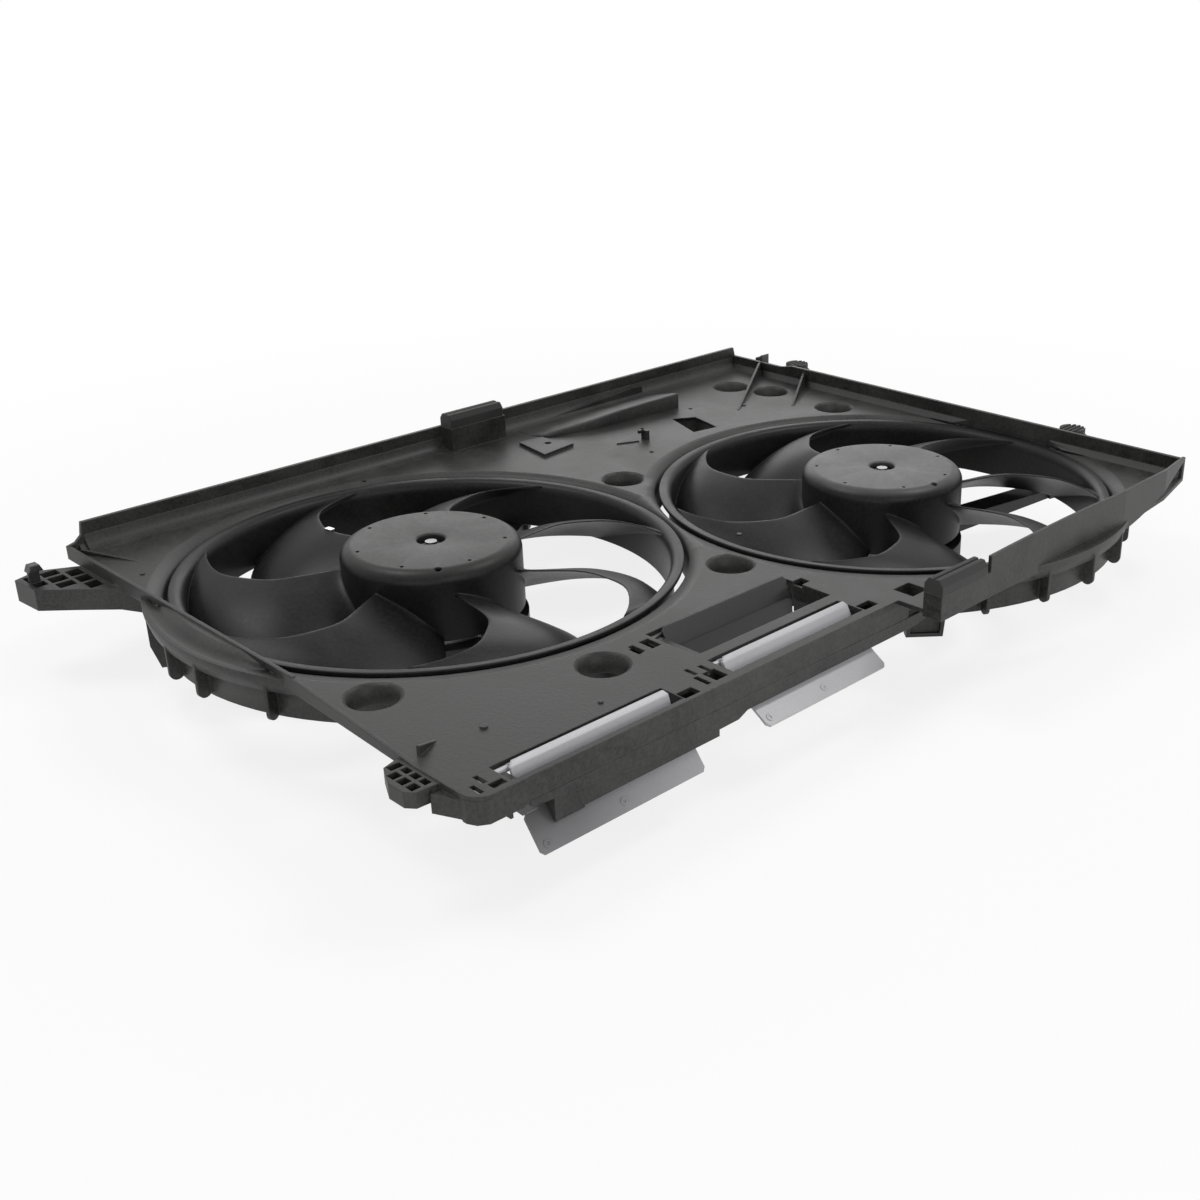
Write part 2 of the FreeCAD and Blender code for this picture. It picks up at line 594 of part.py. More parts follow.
    # Raised pad and L shaped tab on the plate
    solids.append(prism([(199.0, 153.0), (193.0, 113.0), (228.0, 118.0), (232.0, 150.0)], top - 0.5, top + 2.5))
    solids.append(block(268.0, 292.0, 94.0, 96.5, top - 0.5, top + 6.0))
    solids.append(block(289.5, 292.0, 84.0, 96.0, top - 0.5, top + 6.0))
    solids.append(Part.makeCylinder(2.2, 1.6, Vector(-122.0, -214.0, top - 0.5)))
    # Hinge lugs under the ends of the flap slots
    for x, y, width, lean in FLAPS:
        for side in (x - d.FlapEndGap - LUG, x + d.FlapWidth + d.FlapEndGap):
            solids.append(block(side, side + LUG, y - 8.0, y + 2.0, low - 5.5, low + 0.5))
    # Left brackets with pockets open upwards
    solids.append(bracket_left())
    solids.append(bracket_front())
    solids.append(prism([(d.CornerX + 1.0, -240.0), (-179.0, -244.0), (d.CornerX + 1.0, -262.0)],
                        top - 15.0, top - 4.0))
    solids.append(prism([(-168.0, 124.0), (-164.0, 124.0), (-149.5, 97.0), (-153.5, 95.0)], top - 20.0, low + 0.5))
    # Low gussets at the left edge: one beside the front bracket, one at the rear corner
    for x, y, far, near, tall in ((-164.0, -214.0, -146.5, -206.0, 6.0), (-160.0, 183.0, -136.0, 138.0, 4.0)):
        run = math.hypot(far - x, near - y)
        fin = prism([(0.0, top - 0.5), (run, top - 0.5), (0.0, top + tall)], -1.0, 1.0, "y")
        fin.rotate(Vector(0, 0, 0), Vector(0, 0, 1), math.degrees(math.atan2(near - y, far - x)))
        solids.append(moved(fin, x, y))
    # Brackets of the mounting pads outside the right wall
    for y in (127.0, -176.0):
        arm = prism([(d.RightX - 1.0, y - 16.0), (d.RightX + 18.0, y - 10.0), (d.RightX + 18.0, y + 10.0),
                     (d.RightX - 1.0, y + 16.0)], top - 4.0, top + 6.0)
        solids.append(arm.fuse(Part.makeCylinder(12.0, 10.0, Vector(d.RightX + 18.0, y, top - 4.0))))
    solids.append(block(d.RightX - 1.0, d.RightX + 16.0, 158.0, 170.0, top - 2.0, top + 6.0))
    whole = plate.fuse(solids)
    # Openings: the two bores, round holes, slots and small cuts
    tools = []
    for x, y in AXES.values():
        tools.append(Part.makeCylinder(RING_BORE, 80.0, Vector(x, y, top - 60.0)))
        tools.append(Part.makeCone(RING_BORE, RING_OUTER + d.RimFlare - 3.0, 2.01, Vector(x, y, top - 2.0)))
    for x, y in HOLES:
        tools.append(Part.makeCylinder(d.HoleRadius, 60.0, Vector(x, y, top - 40.0)))
        tools.append(Part.makeCone(d.HoleRadius, d.HoleRadius + 2.5, 1.5, Vector(x, y, top - 1.49)))
    for x, y, width, lean in FLAPS:
        tools.append(block(x - d.FlapEndGap, x + d.FlapWidth + d.FlapEndGap, y - width, y, top - 40.0, top + 20.0))
        rod = Part.makeCylinder(d.HingeRod + d.HingeFit, d.FlapWidth + 2 * (d.FlapEndGap + LUG) - 2.0,
                                Vector(x - d.FlapEndGap - LUG + 1.0, y - d.HingeInset, top - d.HingeDrop),
                                Vector(1, 0, 0))
        tools.append(rod)
        mouth = 1.2 * d.HingeRod
        for side in (x - d.FlapEndGap - LUG + 1.0, x + d.FlapWidth + d.FlapEndGap):
            tools.append(block(side, side + LUG - 1.0, y - d.HingeInset - 0.5 * mouth, y - d.HingeInset + 0.5 * mouth,
                               low - 8.0, top - d.HingeDrop))
    for x0, x1, y0, y1 in ((-157.5, -148.5, d.FrontY + 4.2, -262.5), (135.0, 147.0, -211.0, -203.0), (136.0, 149.0, -266.0, -258.0),
                           (-25.0, -13.0, -272.0 + 3.0, -261.0), (173.0, 189.0, -275.0, -259.0)):
        tools.append(block(x0, x1, y0, y1, top - 40.0, top + 1.0))
    tools.append(prism([(337.0, 113.0), (355.0, 102.0), (347.0, 68.0), (323.0, 72.0)], top - 40.0, top + 40.0))
    tools.append(Part.makeCylinder(3.0, 20.0, Vector(214.0, 134.0, top - 10.0)))
    for x, y in ((-164.0, -262.5), (-157.0, -256.0), (0.0, -248.0), (9.0, -250.0), (-3.0, -205.0), (12.0, -203.0)):
        tools.append(block(x - 1.5, x + 1.5, y - 4.5, y + 4.5, top - 10.0, top + 1.0))
    whole = whole.cut(tools)
    whole = whole.fuse(late)
    return whole.removeSplitter()


def bracket_left():
    """Mounting arm of the left edge: a shallow tray of square and triangular cells."""
    top, low = d.PlateTop - 5.0, d.PlateTop - 20.0
    plan = [(-164.0, 118.0), (-164.0, 176.0), (-190.0, 190.0), (-207.0, 184.0), (-205.0, 158.0), (-186.0, 140.0)]
    tray = prism(plan, low, top)
    cells = []
    for x0, x1, y0, y1 in ((-202.5, -194.0, 161.0, 170.0), (-202.5, -194.0, 172.0, 183.0),
                           (-191.5, -180.0, 148.5, 158.0), (-191.5, -180.0, 160.5, 171.0),
                           (-191.5, -180.0, 173.5, 183.0), (-177.5, -168.0, 134.0, 146.0),
                           (-177.5, -168.0, 148.5, 160.0), (-177.5, -168.0, 162.5, 174.0)):
        cells.append(block(x0, x1, y0, y1, low + 2.0, top + 1.0))
    return tray.cut(cells)


def bracket_front():
    """Small gridded tab ahead of the left edge."""
    top, low = d.PlateTop - 0.8, d.PlateTop - 10.0
    plan = [(-166.0, -205.0), (-183.0, -210.0), (-190.0, -224.0), (-190.0, -237.0), (-186.0, -242.0), (-166.0, -243.0)]
    tray = prism(plan, low, top)
    cells = []
    for x0, x1 in ((-186.5, -180.5), (-178.5, -174.0)):
        for y0 in (-239.5, -231.5, -223.5):
            cells.append(block(x0, x1, y0, y0 + 6.0, low + 2.0, top + 1.0))
    cells.append(block(-182.0, -174.0, -215.5, -210.5, low + 2.0, top + 1.0))
    return tray.cut(cells)


panel = panel_shape()
feature("shroud_panel", panel)


# Ram-air flaps: a bent plate under a hinge rod, made along the rod and leaned to its resting angle.
def flap(index):
    x, y, width, lean = FLAPS[index]
    half = 0.5 * d.FlapThick
    upper = block(0.0, d.FlapWidth, -half, half, -d.FlapUpper, 0.0)
    corner = 3.0
    ends = [prism([(0.0, 0.0), (0.0, -corner), (corner, 0.0)], -5, 5, "y"),
            prism([(d.FlapWidth, 0.0), (d.FlapWidth, -corner), (d.FlapWidth - corner, 0.0)], -5, 5, "y")]
    upper = upper.cut(ends)
    rod = Part.makeCylinder(d.HingeRod, d.FlapWidth + 2 * (d.FlapEndGap + LUG - 1.5),
                            Vector(-d.FlapEndGap - LUG + 1.5, 0, 0), Vector(1, 0, 0))
    lower = prism([(4.0, 1.0), (d.FlapWidth + 16.0, 1.0), (d.FlapWidth + 16.0, -d.FlapLower + 5.0),
                   (d.FlapWidth + 11.0, -d.FlapLower), (6.0, -d.FlapLower), (4.0, -d.FlapLower + 2.0)],
                  -half, half, "y")
    eye = Part.makeCylinder(1.2, 10.0, Vector(9.0, -5.0, -d.FlapLower + 5.0), Vector(0, 1, 0))
    lower = lower.cut(eye)
    lower.rotate(Vector(0, 0, 0), Vector(1, 0, 0), -d.FlapBend)
    lower.translate(Vector(0, 0, -d.FlapUpper))
    bend = Part.makeCylinder(half, d.FlapWidth - 4.0, Vector(4.0, 0, -d.FlapUpper), Vector(1, 0, 0))
    whole = rod.fuse([upper, lower, bend])
    whole.rotate(Vector(0, 0, 0), Vector(1, 0, 0), -lean)
    return whole, (x, y - d.HingeInset, d.PlateTop - d.HingeDrop)


for index, label in enumerate(("ram_air_flap_left", "ram_air_flap_right", "ram_air_flap_rear")):
    shape, spot = flap(index)
    feature(label, shape, spot)


# Pads, caps and clips
def clip_cap(x0, x1, y0, y1, low, high):
    """Rounded pad cap seated on a clip block."""
    middle = 0.5 * (y0 + y1)
    side = prism([(y0, low), (y1, low), (y1, high - 4.0), (y1 - 3.0, high), (middle + 1.0, high),
                  (middle + 0.5, high - 1.0), (middle - 0.5, high - 1.0), (middle - 1.0, high), (y0 + 3.0, high),
                  (y0, high - 4.0)], x0, x1, "x")
    return side


feature("front_pad", clip_cap(d.StepX - 40.0, d.StepX + 8.0, d.StripY - 1.5, d.StripY + 12.5,
                              d.PlateTop + 12.5, d.PlateTop + 23.0))
feature("rear_pad", clip_cap(151.0, 204.0, d.BackY - 16.0, d.BackY - 1.0, d.PlateTop + d.BackRise,
                             d.PlateTop + d.BackRise + 10.5))
for label, y in (("mounting_pad_rear", 127.0), ("mounting_pad_front", -176.0)):
    disc = Part.makeCylinder(d.PadRadius, 6.0, Vector(d.RightX + 18.0, y, d.PlateTop + 6.0))
    grooves = []
    for i in range(4):
        grooves.append(block(d.RightX, d.RightX + 40.0, y - 7.5 + 4.0 * i, y - 5.5 + 4.0 * i,
                             d.PlateTop + 10.8, d.PlateTop + 13.0))
    feature(label, disc.cut(grooves))
clip = block(-202.0, -194.5, 172.2, 173.8, d.PlateTop - 18.0, d.PlateTop + 3.0)
hook = prism([(-203.0, d.PlateTop + 3.0), (-193.0, d.PlateTop + 3.0), (-195.0, d.PlateTop + 7.5),
              (-201.0, d.PlateTop + 7.5)], 168.0, 175.0, "y")
feature("edge_clip", clip.fuse(hook))
base = block(d.RightX + 4.0, d.RightX + 14.0, 160.0, 168.0, d.PlateTop + 6.0, d.PlateTop + 8.0)
prongs = [block(d.RightX + 4.0, d.RightX + 14.0, 160.0, 161.6, d.PlateTop + 6.0, d.PlateTop + 16.0),
          block(d.RightX + 4.0, d.RightX + 14.0, 166.4, 168.0, d.PlateTop + 6.0, d.PlateTop + 13.0)]
feature("cable_clip", base.fuse(prongs))

# Everything is recomputed and checked before any file is written
doc.recompute()
for obj in doc.Objects:
    if "Invalid" in obj.State or "Error" in obj.State:
        raise RuntimeError("failed object: " + obj.Label)
for node in NODES:
    if node.Shape.isNull() or not node.Shape.isValid():
        raise RuntimeError("bad shape: " + node.Label)
for node in NODES:
    node.Shape.exportStep(os.path.join("parts", node.Label + ".step"))
    print(node.Label, len(node.Shape.Solids), round(node.Shape.Volume, 1))
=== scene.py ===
import math
import bmesh
import bpy
from mathutils import Matrix, Vector


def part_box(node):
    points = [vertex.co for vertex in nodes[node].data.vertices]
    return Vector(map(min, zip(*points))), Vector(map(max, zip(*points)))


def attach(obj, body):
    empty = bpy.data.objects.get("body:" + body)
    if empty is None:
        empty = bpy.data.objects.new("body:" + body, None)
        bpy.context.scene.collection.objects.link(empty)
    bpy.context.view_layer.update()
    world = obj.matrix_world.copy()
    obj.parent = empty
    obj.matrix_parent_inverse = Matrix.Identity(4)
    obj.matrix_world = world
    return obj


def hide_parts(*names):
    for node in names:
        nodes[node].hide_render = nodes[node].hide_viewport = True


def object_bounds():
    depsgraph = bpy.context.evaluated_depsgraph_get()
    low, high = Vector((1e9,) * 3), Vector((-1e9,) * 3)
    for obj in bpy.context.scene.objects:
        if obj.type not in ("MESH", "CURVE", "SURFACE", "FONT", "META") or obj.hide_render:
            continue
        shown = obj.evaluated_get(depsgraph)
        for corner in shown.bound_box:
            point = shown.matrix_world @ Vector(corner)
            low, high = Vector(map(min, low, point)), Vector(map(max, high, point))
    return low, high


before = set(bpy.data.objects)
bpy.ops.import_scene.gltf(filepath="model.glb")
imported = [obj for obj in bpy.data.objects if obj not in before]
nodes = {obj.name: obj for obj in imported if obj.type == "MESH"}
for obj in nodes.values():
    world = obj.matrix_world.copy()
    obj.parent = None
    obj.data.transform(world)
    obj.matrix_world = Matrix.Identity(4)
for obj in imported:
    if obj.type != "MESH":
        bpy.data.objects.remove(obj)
cad_box = [list(corner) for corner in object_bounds()]

# Shroud panel: one injection moulding in black glass-filled nylon, with its
# walls, fan rings, brackets and flap seats in one piece. The mould leaves a
# fine grain and soft flow marks, and handling polishes the corners.


def socket(group, name, kind, side, value=None):
    made = group.interface.new_socket(name=name, in_out=side, socket_type=kind)
    if value is not None:
        made.default_value = value
    return made


def wire(tree, start, end):
    tree.links.new(start, end)


def moulded_grain_group():
    """Colour, roughness and height of a moulded plastic skin, with fine grain and slow flow marks."""
    group = bpy.data.node_groups.new("Moulded grain", "ShaderNodeTree")
    socket(group, "Base", "NodeSocketColor", "INPUT", (0.01, 0.01, 0.01, 1))
    socket(group, "Flow", "NodeSocketColor", "INPUT", (0.02, 0.02, 0.02, 1))
    socket(group, "Grain scale", "NodeSocketFloat", "INPUT", 900.0)
    socket(group, "Flow scale", "NodeSocketFloat", "INPUT", 14.0)
    socket(group, "Smooth", "NodeSocketFloat", "INPUT", 0.4)
    socket(group, "Rough", "NodeSocketFloat", "INPUT", 0.55)
    socket(group, "Colour", "NodeSocketColor", "OUTPUT")
    socket(group, "Roughness", "NodeSocketFloat", "OUTPUT")
    socket(group, "Height", "NodeSocketFloat", "OUTPUT")
    add = group.nodes.new
    entry, leave = add("NodeGroupInput"), add("NodeGroupOutput")
    place = add("ShaderNodeTexCoord")
    grain = add("ShaderNodeTexNoise")
    grain.inputs["Detail"].default_value = 3.0
    wire(group, place.outputs["Object"], grain.inputs["Vector"])
    wire(group, entry.outputs["Grain scale"], grain.inputs["Scale"])
    flow = add("ShaderNodeTexNoise")
    flow.inputs["Detail"].default_value = 5.0
    flow.inputs["Roughness"].default_value = 0.62
    flow.inputs["Distortion"].default_value = 0.8
    wire(group, place.outputs["Object"], flow.inputs["Vector"])
    wire(group, entry.outputs["Flow scale"], flow.inputs["Scale"])
    spread = add("ShaderNodeMapRange")
    spread.inputs["From Min"].default_value = 0.35
    spread.inputs["From Max"].default_value = 0.72
    wire(group, flow.outputs["Fac"], spread.inputs["Value"])
    speck = add("ShaderNodeMapRange")
    speck.inputs["From Min"].default_value = 0.32
    speck.inputs["From Max"].default_value = 0.68
    wire(group, grain.outputs["Fac"], speck.inputs["Value"])
    blend = add("ShaderNodeMath")
    blend.operation = "MULTIPLY_ADD"
    blend.inputs[1].default_value = 0.4
    wire(group, speck.outputs["Result"], blend.inputs[0])
    share = add("ShaderNodeMath")
    share.operation = "MULTIPLY"
    share.inputs[1].default_value = 0.6
    wire(group, spread.outputs["Result"], share.inputs[0])
    wire(group, share.outputs[0], blend.inputs[2])
    tint = add("ShaderNodeMix")
    tint.data_type = "RGBA"
    wire(group, blend.outputs[0], tint.inputs["Factor"])
    wire(group, entry.outputs["Base"], tint.inputs["A"])
    wire(group, entry.outputs["Flow"], tint.inputs["B"])
    shine = add("ShaderNodeMix")
    wire(group, blend.outputs[0], shine.inputs["Factor"])
    wire(group, entry.outputs["Smooth"], shine.inputs["A"])
    wire(group, entry.outputs["Rough"], shine.inputs["B"])
    wire(group, tint.outputs["Result"], leave.inputs["Colour"])
    wire(group, shine.outputs["Result"], leave.inputs["Roughness"])
    wire(group, grain.outputs["Fac"], leave.inputs["Height"])
    return group


def rubbed_edge_group():
    """Softly rounded corner normals, and a broken mask of the corners that handling has polished."""
    group = bpy.data.node_groups.new("Rubbed edges", "ShaderNodeTree")
    socket(group, "Width", "NodeSocketFloat", "INPUT", 0.001)
    socket(group, "Amount", "NodeSocketFloat", "INPUT", 0.6)
    socket(group, "Mask", "NodeSocketFloat", "OUTPUT")
    socket(group, "Normal", "NodeSocketVector", "OUTPUT")
    add = group.nodes.new
    entry, leave = add("NodeGroupInput"), add("NodeGroupOutput")
    round_off = add("ShaderNodeBevel")
    round_off.samples = 4
    wire(group, entry.outputs["Width"], round_off.inputs["Radius"])
    true_face = add("ShaderNodeNewGeometry")
    turn = add("ShaderNodeVectorMath")
    turn.operation = "DOT_PRODUCT"
    wire(group, round_off.outputs["Normal"], turn.inputs[0])
    wire(group, true_face.outputs["Normal"], turn.inputs[1])
    edge = add("ShaderNodeMapRange")
    edge.inputs["From Min"].default_value = 0.99
    edge.inputs["From Max"].default_value = 0.80
    wire(group, turn.outputs["Value"], edge.inputs["Value"])
    place = add("ShaderNodeTexCoord")
    broken = add("ShaderNodeTexNoise")
    broken.inputs["Scale"].default_value = 60.0
    broken.inputs["Detail"].default_value = 4.0
    wire(group, place.outputs["Object"], broken.inputs["Vector"])
    patch = add("ShaderNodeMapRange")
    patch.inputs["From Min"].default_value = 0.38
    patch.inputs["From Max"].default_value = 0.62
    patch.inputs["To Min"].default_value = 0.35
    wire(group, broken.outputs["Fac"], patch.inputs["Value"])
    both = add("ShaderNodeMath")
    both.operation = "MULTIPLY"
    wire(group, edge.outputs["Result"], both.inputs[0])
    wire(group, patch.outputs["Result"], both.inputs[1])
    much = add("ShaderNodeMath")
    much.operation = "MULTIPLY"
    wire(group, both.outputs[0], much.inputs[0])
    wire(group, entry.outputs["Amount"], much.inputs[1])
    wire(group, much.outputs[0], leave.inputs["Mask"])
    wire(group, round_off.outputs["Normal"], leave.inputs["Normal"])
    return group


MOULDED_GRAIN = moulded_grain_group()
RUBBED_EDGES = rubbed_edge_group()


def moulded_plastic(name, base, flow, smooth, rough, rubbed, grain=900.0, bump=0.12, marks=14.0, edge=0.5,
                    corner=0.0011, specular=0.5):
    """A moulded plastic finish: grain group for colour and roughness, edge group for the polished corners."""
    made = bpy.data.materials.new(name)
    made.use_nodes = True
    tree = made.node_tree
    shader = tree.nodes["Principled BSDF"]
    shader.inputs["Specular IOR Level"].default_value = specular
    skin = tree.nodes.new("ShaderNodeGroup")
    skin.node_tree = MOULDED_GRAIN
    skin.inputs["Base"].default_value = (*base, 1)
    skin.inputs["Flow"].default_value = (*flow, 1)
    skin.inputs["Grain scale"].default_value = grain
    skin.inputs["Flow scale"].default_value = marks
    skin.inputs["Smooth"].default_value = smooth
    skin.inputs["Rough"].default_value = rough
    worn = tree.nodes.new("ShaderNodeGroup")
    worn.node_tree = RUBBED_EDGES
    worn.inputs["Width"].default_value = corner
    worn.inputs["Amount"].default_value = edge
    top = tree.nodes.new("ShaderNodeMix")
    top.name = "Skin colour"
    top.data_type = "RGBA"
    top.inputs["B"].default_value = (*rubbed, 1)
    wire(tree, worn.outputs["Mask"], top.inputs["Factor"])
    wire(tree, skin.outputs["Colour"], top.inputs["A"])
    wire(tree, top.outputs["Result"], shader.inputs["Base Color"])
    wire(tree, skin.outputs["Roughness"], shader.inputs["Roughness"])
    raised = tree.nodes.new("ShaderNodeBump")
    raised.inputs["Strength"].default_value = bump
    raised.inputs["Distance"].default_value = 0.0004
    wire(tree, skin.outputs["Height"], raised.inputs["Height"])
    wire(tree, worn.outputs["Normal"], raised.inputs["Normal"])
    wire(tree, raised.outputs["Normal"], shader.inputs["Normal"])
    return made


def finish_with(material, *names):
    """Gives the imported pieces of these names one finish."""
    for name in names:
        slots = nodes[name].data.materials
        slots.clear()
        slots.append(material)


shroud_black = moulded_plastic(
    "shroud_black_nylon", (0.004, 0.004, 0.0039), (0.043, 0.043, 0.041), 0.38, 0.58, (0.075, 0.075, 0.072),
    grain=480.0, bump=0.3, specular=0.30)

MM = 0.001
PLATE_TOP = 72.0


def made_of(name, points, faces, at=(0.0, 0.0), turn=0.0, smooth=38.0):
    """Mesh piece from millimetre points, turned and moved to its axis, with crisp corners above an angle."""
    shape = bpy.data.meshes.new(name)
    shape.from_pydata(points, [], faces)
    shape.transform(Matrix.Translation((at[0], at[1], 0.0)) @ Matrix.Rotation(math.radians(turn), 4, "Z")
                    @ Matrix.Scale(MM, 4))
    cleaner = bmesh.new()
    cleaner.from_mesh(shape)
    bmesh.ops.recalc_face_normals(cleaner, faces=cleaner.faces)
    cleaner.to_mesh(shape)
    cleaner.free()
    shape.polygons.foreach_set("use_smooth", [True] * len(shape.polygons))
    shape.set_sharp_from_angle(angle=math.radians(smooth))
    piece = bpy.data.objects.new(name, shape)
    bpy.context.scene.collection.objects.link(piece)
    return piece


def outline_solid(points, faces, plan, low, high, axis="z"):
    """Adds a straight solid over an outline: XY outline (z), XZ outline (y) or YZ outline (x)."""
    start, count = len(points), len(plan)
    for level in (low, high):
        for a, b in plan:
            points.append({"z": (a, b, level), "y": (a, level, b), "x": (level, a, b)}[axis])
    faces.append(tuple(start + k for k in range(count)))
    faces.append(tuple(start + count + k for k in range(count)))
    for k in range(count):
        faces.append((start + k, start + (k + 1) % count, start + count + (k + 1) % count, start + count + k))


def brick(points, faces, x0, x1, y0, y1, z0, z1):
    outline_solid(points, faces, [(x0, y0), (x1, y0), (x1, y1), (x0, y1)], z0, z1)


def disc(x, y, radius, steps=20):
    return [(x + radius * math.cos(2 * math.pi * k / steps), y + radius * math.sin(2 * math.pi * k / steps))
            for k in range(steps)]


def bored(piece, tool):
    """Cuts the tool's solids out of the piece."""
    cut = piece.modifiers.new("cut", "BOOLEAN")
    cut.object = tool
    cut.solver = "EXACT"
    after = bpy.data.meshes.new_from_object(piece.evaluated_get(bpy.context.evaluated_depsgraph_get()))
    piece.modifiers.clear()
    piece.data = after
    bpy.data.objects.remove(tool)


# The moulding as packed, with the finer openings beside the flap slots that
# the mould's side cores leave, and room for the step by the rear wall.
THROUGH_PLATE = (PLATE_TOP - 8.0, PLATE_TOP + 6.0)
JUST_ABOVE_PLATE = PLATE_TOP + 0.03
FINE_OPENINGS = ((-4.7, -1.2, -266.0, -254.2), (2.6, 12.4, -266.0, -254.2), (6.5, 13.9, -209.5, -197.2),
                 (-2.5, 1.5, -209.0, -197.5), (-31.0, -25.6, -267.8, -249.7), (17.4, 22.0, -264.9, -244.2),
                 (-146.5, -143.0, -267.8, -249.7), (17.0, 26.0, -234.8, -192.2))
SMALL_HOLE = (369.7, 123.0, 1.9)
FLANGE_RECESS = [(-124.0, 30.0), (4.0, 30.0), (4.0, 44.3), (-16.0, 44.0), (-47.8, 43.4), (-92.5, 48.6),
                 (-124.0, 52.6)]
CABLE_TAB_SITE = (265.0, 295.0, 82.0, 99.0)
STEP_SITE = (222.0, 375.0, 130.0, 187.9)

panel = bpy.data.objects.new("shroud_moulding", nodes["shroud_panel"].data.copy())
bpy.context.scene.collection.objects.link(panel)
points, faces = [], []
for opening in FINE_OPENINGS:
    brick(points, faces, *opening, *THROUGH_PLATE)
outline_solid(points, faces, disc(*SMALL_HOLE), *THROUGH_PLATE)
outline_solid(points, faces, FLANGE_RECESS, -273.0, -270.8, "y")
brick(points, faces, *CABLE_TAB_SITE, JUST_ABOVE_PLATE, PLATE_TOP + 20.0)
brick(points, faces, *STEP_SITE, JUST_ABOVE_PLATE, PLATE_TOP + 16.0)
bored(panel, made_of("fine_openings", points, faces))
panel.data.materials.clear()
panel.data.materials.append(shroud_black)
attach(panel, "shroud")
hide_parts("shroud_panel")

# Moulded details, one piece with the panel: step and cove by the rear wall,
# pocket of the four-sided window, cable tab and line, ejector bumps, walls
# and sills of the flap slots, and the front flange with its duct.
PLATE_UNDER = PLATE_TOP - 2.6
# The step's front edge from left to right, with its rise above the plate
STEP_FRONT = [(222.0, 166.0, 0.2), (228.0, 152.0, 2.2), (245.0, 146.6, 5.2), (268.6, 139.8, 8.4),
              (300.0, 138.0, 10.8), (330.0, 136.3, 11.9), (365.0, 134.5, 12.7)]
STEP_BACK, STEP_END = 183.0, 366.2
COVE = [(182.0, PLATE_TOP - 0.4), (182.0, PLATE_TOP + 0.02), (185.0, PLATE_TOP + 0.6),
        (187.8, PLATE_TOP + 1.9), (189.8, PLATE_TOP + 3.9), (191.2, PLATE_TOP + 6.6),
        (192.0, PLATE_TOP + 10.5), (192.6, PLATE_TOP + 10.5), (192.6, PLATE_TOP - 0.4)]
COVE_ENDS = (-153.0, 497.0)
WINDOW = ((337.0, 113.0), (355.0, 102.0), (347.0, 68.0), (323.0, 72.0))
WINDOW_FLOOR = [(323.4, 72.4), (346.6, 68.5), (350.5, 86.0), (328.0, 91.0)]
# Outside of the walls of the window's pocket, as a multiple of the window
WINDOW_WALL = 1.09
CABLE_LINE = [(255.4, 94.5), (273.4, 86.8), (273.9, 87.9), (255.9, 95.7)]
EJECTOR_BUMPS = ((-122.0, -214.0, 2.4), (410.0, 95.0, 1.6), (60.0, 172.0, 1.6), (262.0, 60.0, 1.6),
                 (-60.0, -238.0, 1.6), (176.0, -120.0, 1.8), (-148.0, 120.0, 1.6), (300.0, 112.0, 1.4))
# Walls that hang below the plate beside the slots, each with its depth below the plate's top
SLOT_WALLS = ((-148.4, -146.6, -267.8, -249.6, 22.0), (-25.5, -23.7, -267.8, -249.6, 22.0),
              (15.4, 17.2, -265.0, -244.0, 22.0), (135.3, 137.0, -265.0, -244.0, 22.0),
              (15.0, 16.9, -234.9, -192.0, 22.0), (139.1, 141.0, -234.9, -192.0, 12.6),
              (152.8, 154.4, -218.0, -192.0, 29.0), (17.0, 139.0, -236.8, -235.0, 16.6))
# Pockets behind the fine openings: a floor, a rear wall and a right wall
POCKETS = ((-23.6, 14.5, -269.4, -252.5), (137.2, 151.0, -269.4, -253.0), (-6.0, 14.9, -212.0, -195.0),
           (141.2, 149.5, -213.0, -200.5), (171.0, 191.0, -269.4, -257.0))
POCKET_DEPTH, POCKET_WALL, OVERLAP = 12.0, 1.5, 0.1
# Sills in the left ends of the slots, each with the rear edge of its upper ledge
SILLS = ((-146.7, -140.4, -267.9, -249.6, -255.2), (17.2, 20.4, -264.9, -244.1, -249.6),
         (16.8, 25.0, -234.9, -192.1, -197.6))
FLANGE_LINE = [(-138.0, 54.6), (-92.5, 48.8), (-47.8, 43.6), (14.5, 44.6), (22.0, 48.0), (180.0, 48.0),
               (192.0, 50.0), (197.0, 56.0), (-138.0, 58.0)]
FLANGE_FACES = (-272.2, -269.8)
DUCT_BACK = [(-122.0, 37.6), (-102.0, 37.6), (-102.0, 53.0), (-122.0, 53.0)]
DUCT_CHEEK = [(-271.0, 37.6), (-269.7, 37.6), (-264.4, 47.0), (-264.4, 54.0), (-271.0, 54.0)]

points, faces = [], []
rows = []
for x, y, rise in STEP_FRONT:
    crest = PLATE_TOP + rise
    rows.append([(x, y, PLATE_TOP - 0.5), (x, y, crest - 1.2), (x, y + 0.5, crest - 0.35),
                 (x, y + 1.4, crest), (x, y + 5.0, PLATE_TOP + 0.96 * rise),
                 (x, STEP_BACK, PLATE_TOP + 0.6), (x, STEP_BACK, PLATE_TOP - 0.5)])
rows.append([(STEP_END, y, z - 0.8 if k in (1, 2, 3, 4) else z) for k, (_, y, z) in enumerate(rows[-1])])
count = len(rows[0])
for row in rows:
    points.extend(row)
for i in range(len(rows) - 1):
    here, there = i * count, (i + 1) * count
    for k in range(count):
        faces.append((here + k, here + (k + 1) % count, there + (k + 1) % count, there + k))
faces.append(tuple(range(count)))
faces.append(tuple(range((len(rows) - 1) * count, len(rows) * count)))
outline_solid(points, faces, COVE, *COVE_ENDS, "x")
middle_x, middle_y = (sum(corner[axis] for corner in WINDOW) / 4 for axis in (0, 1))
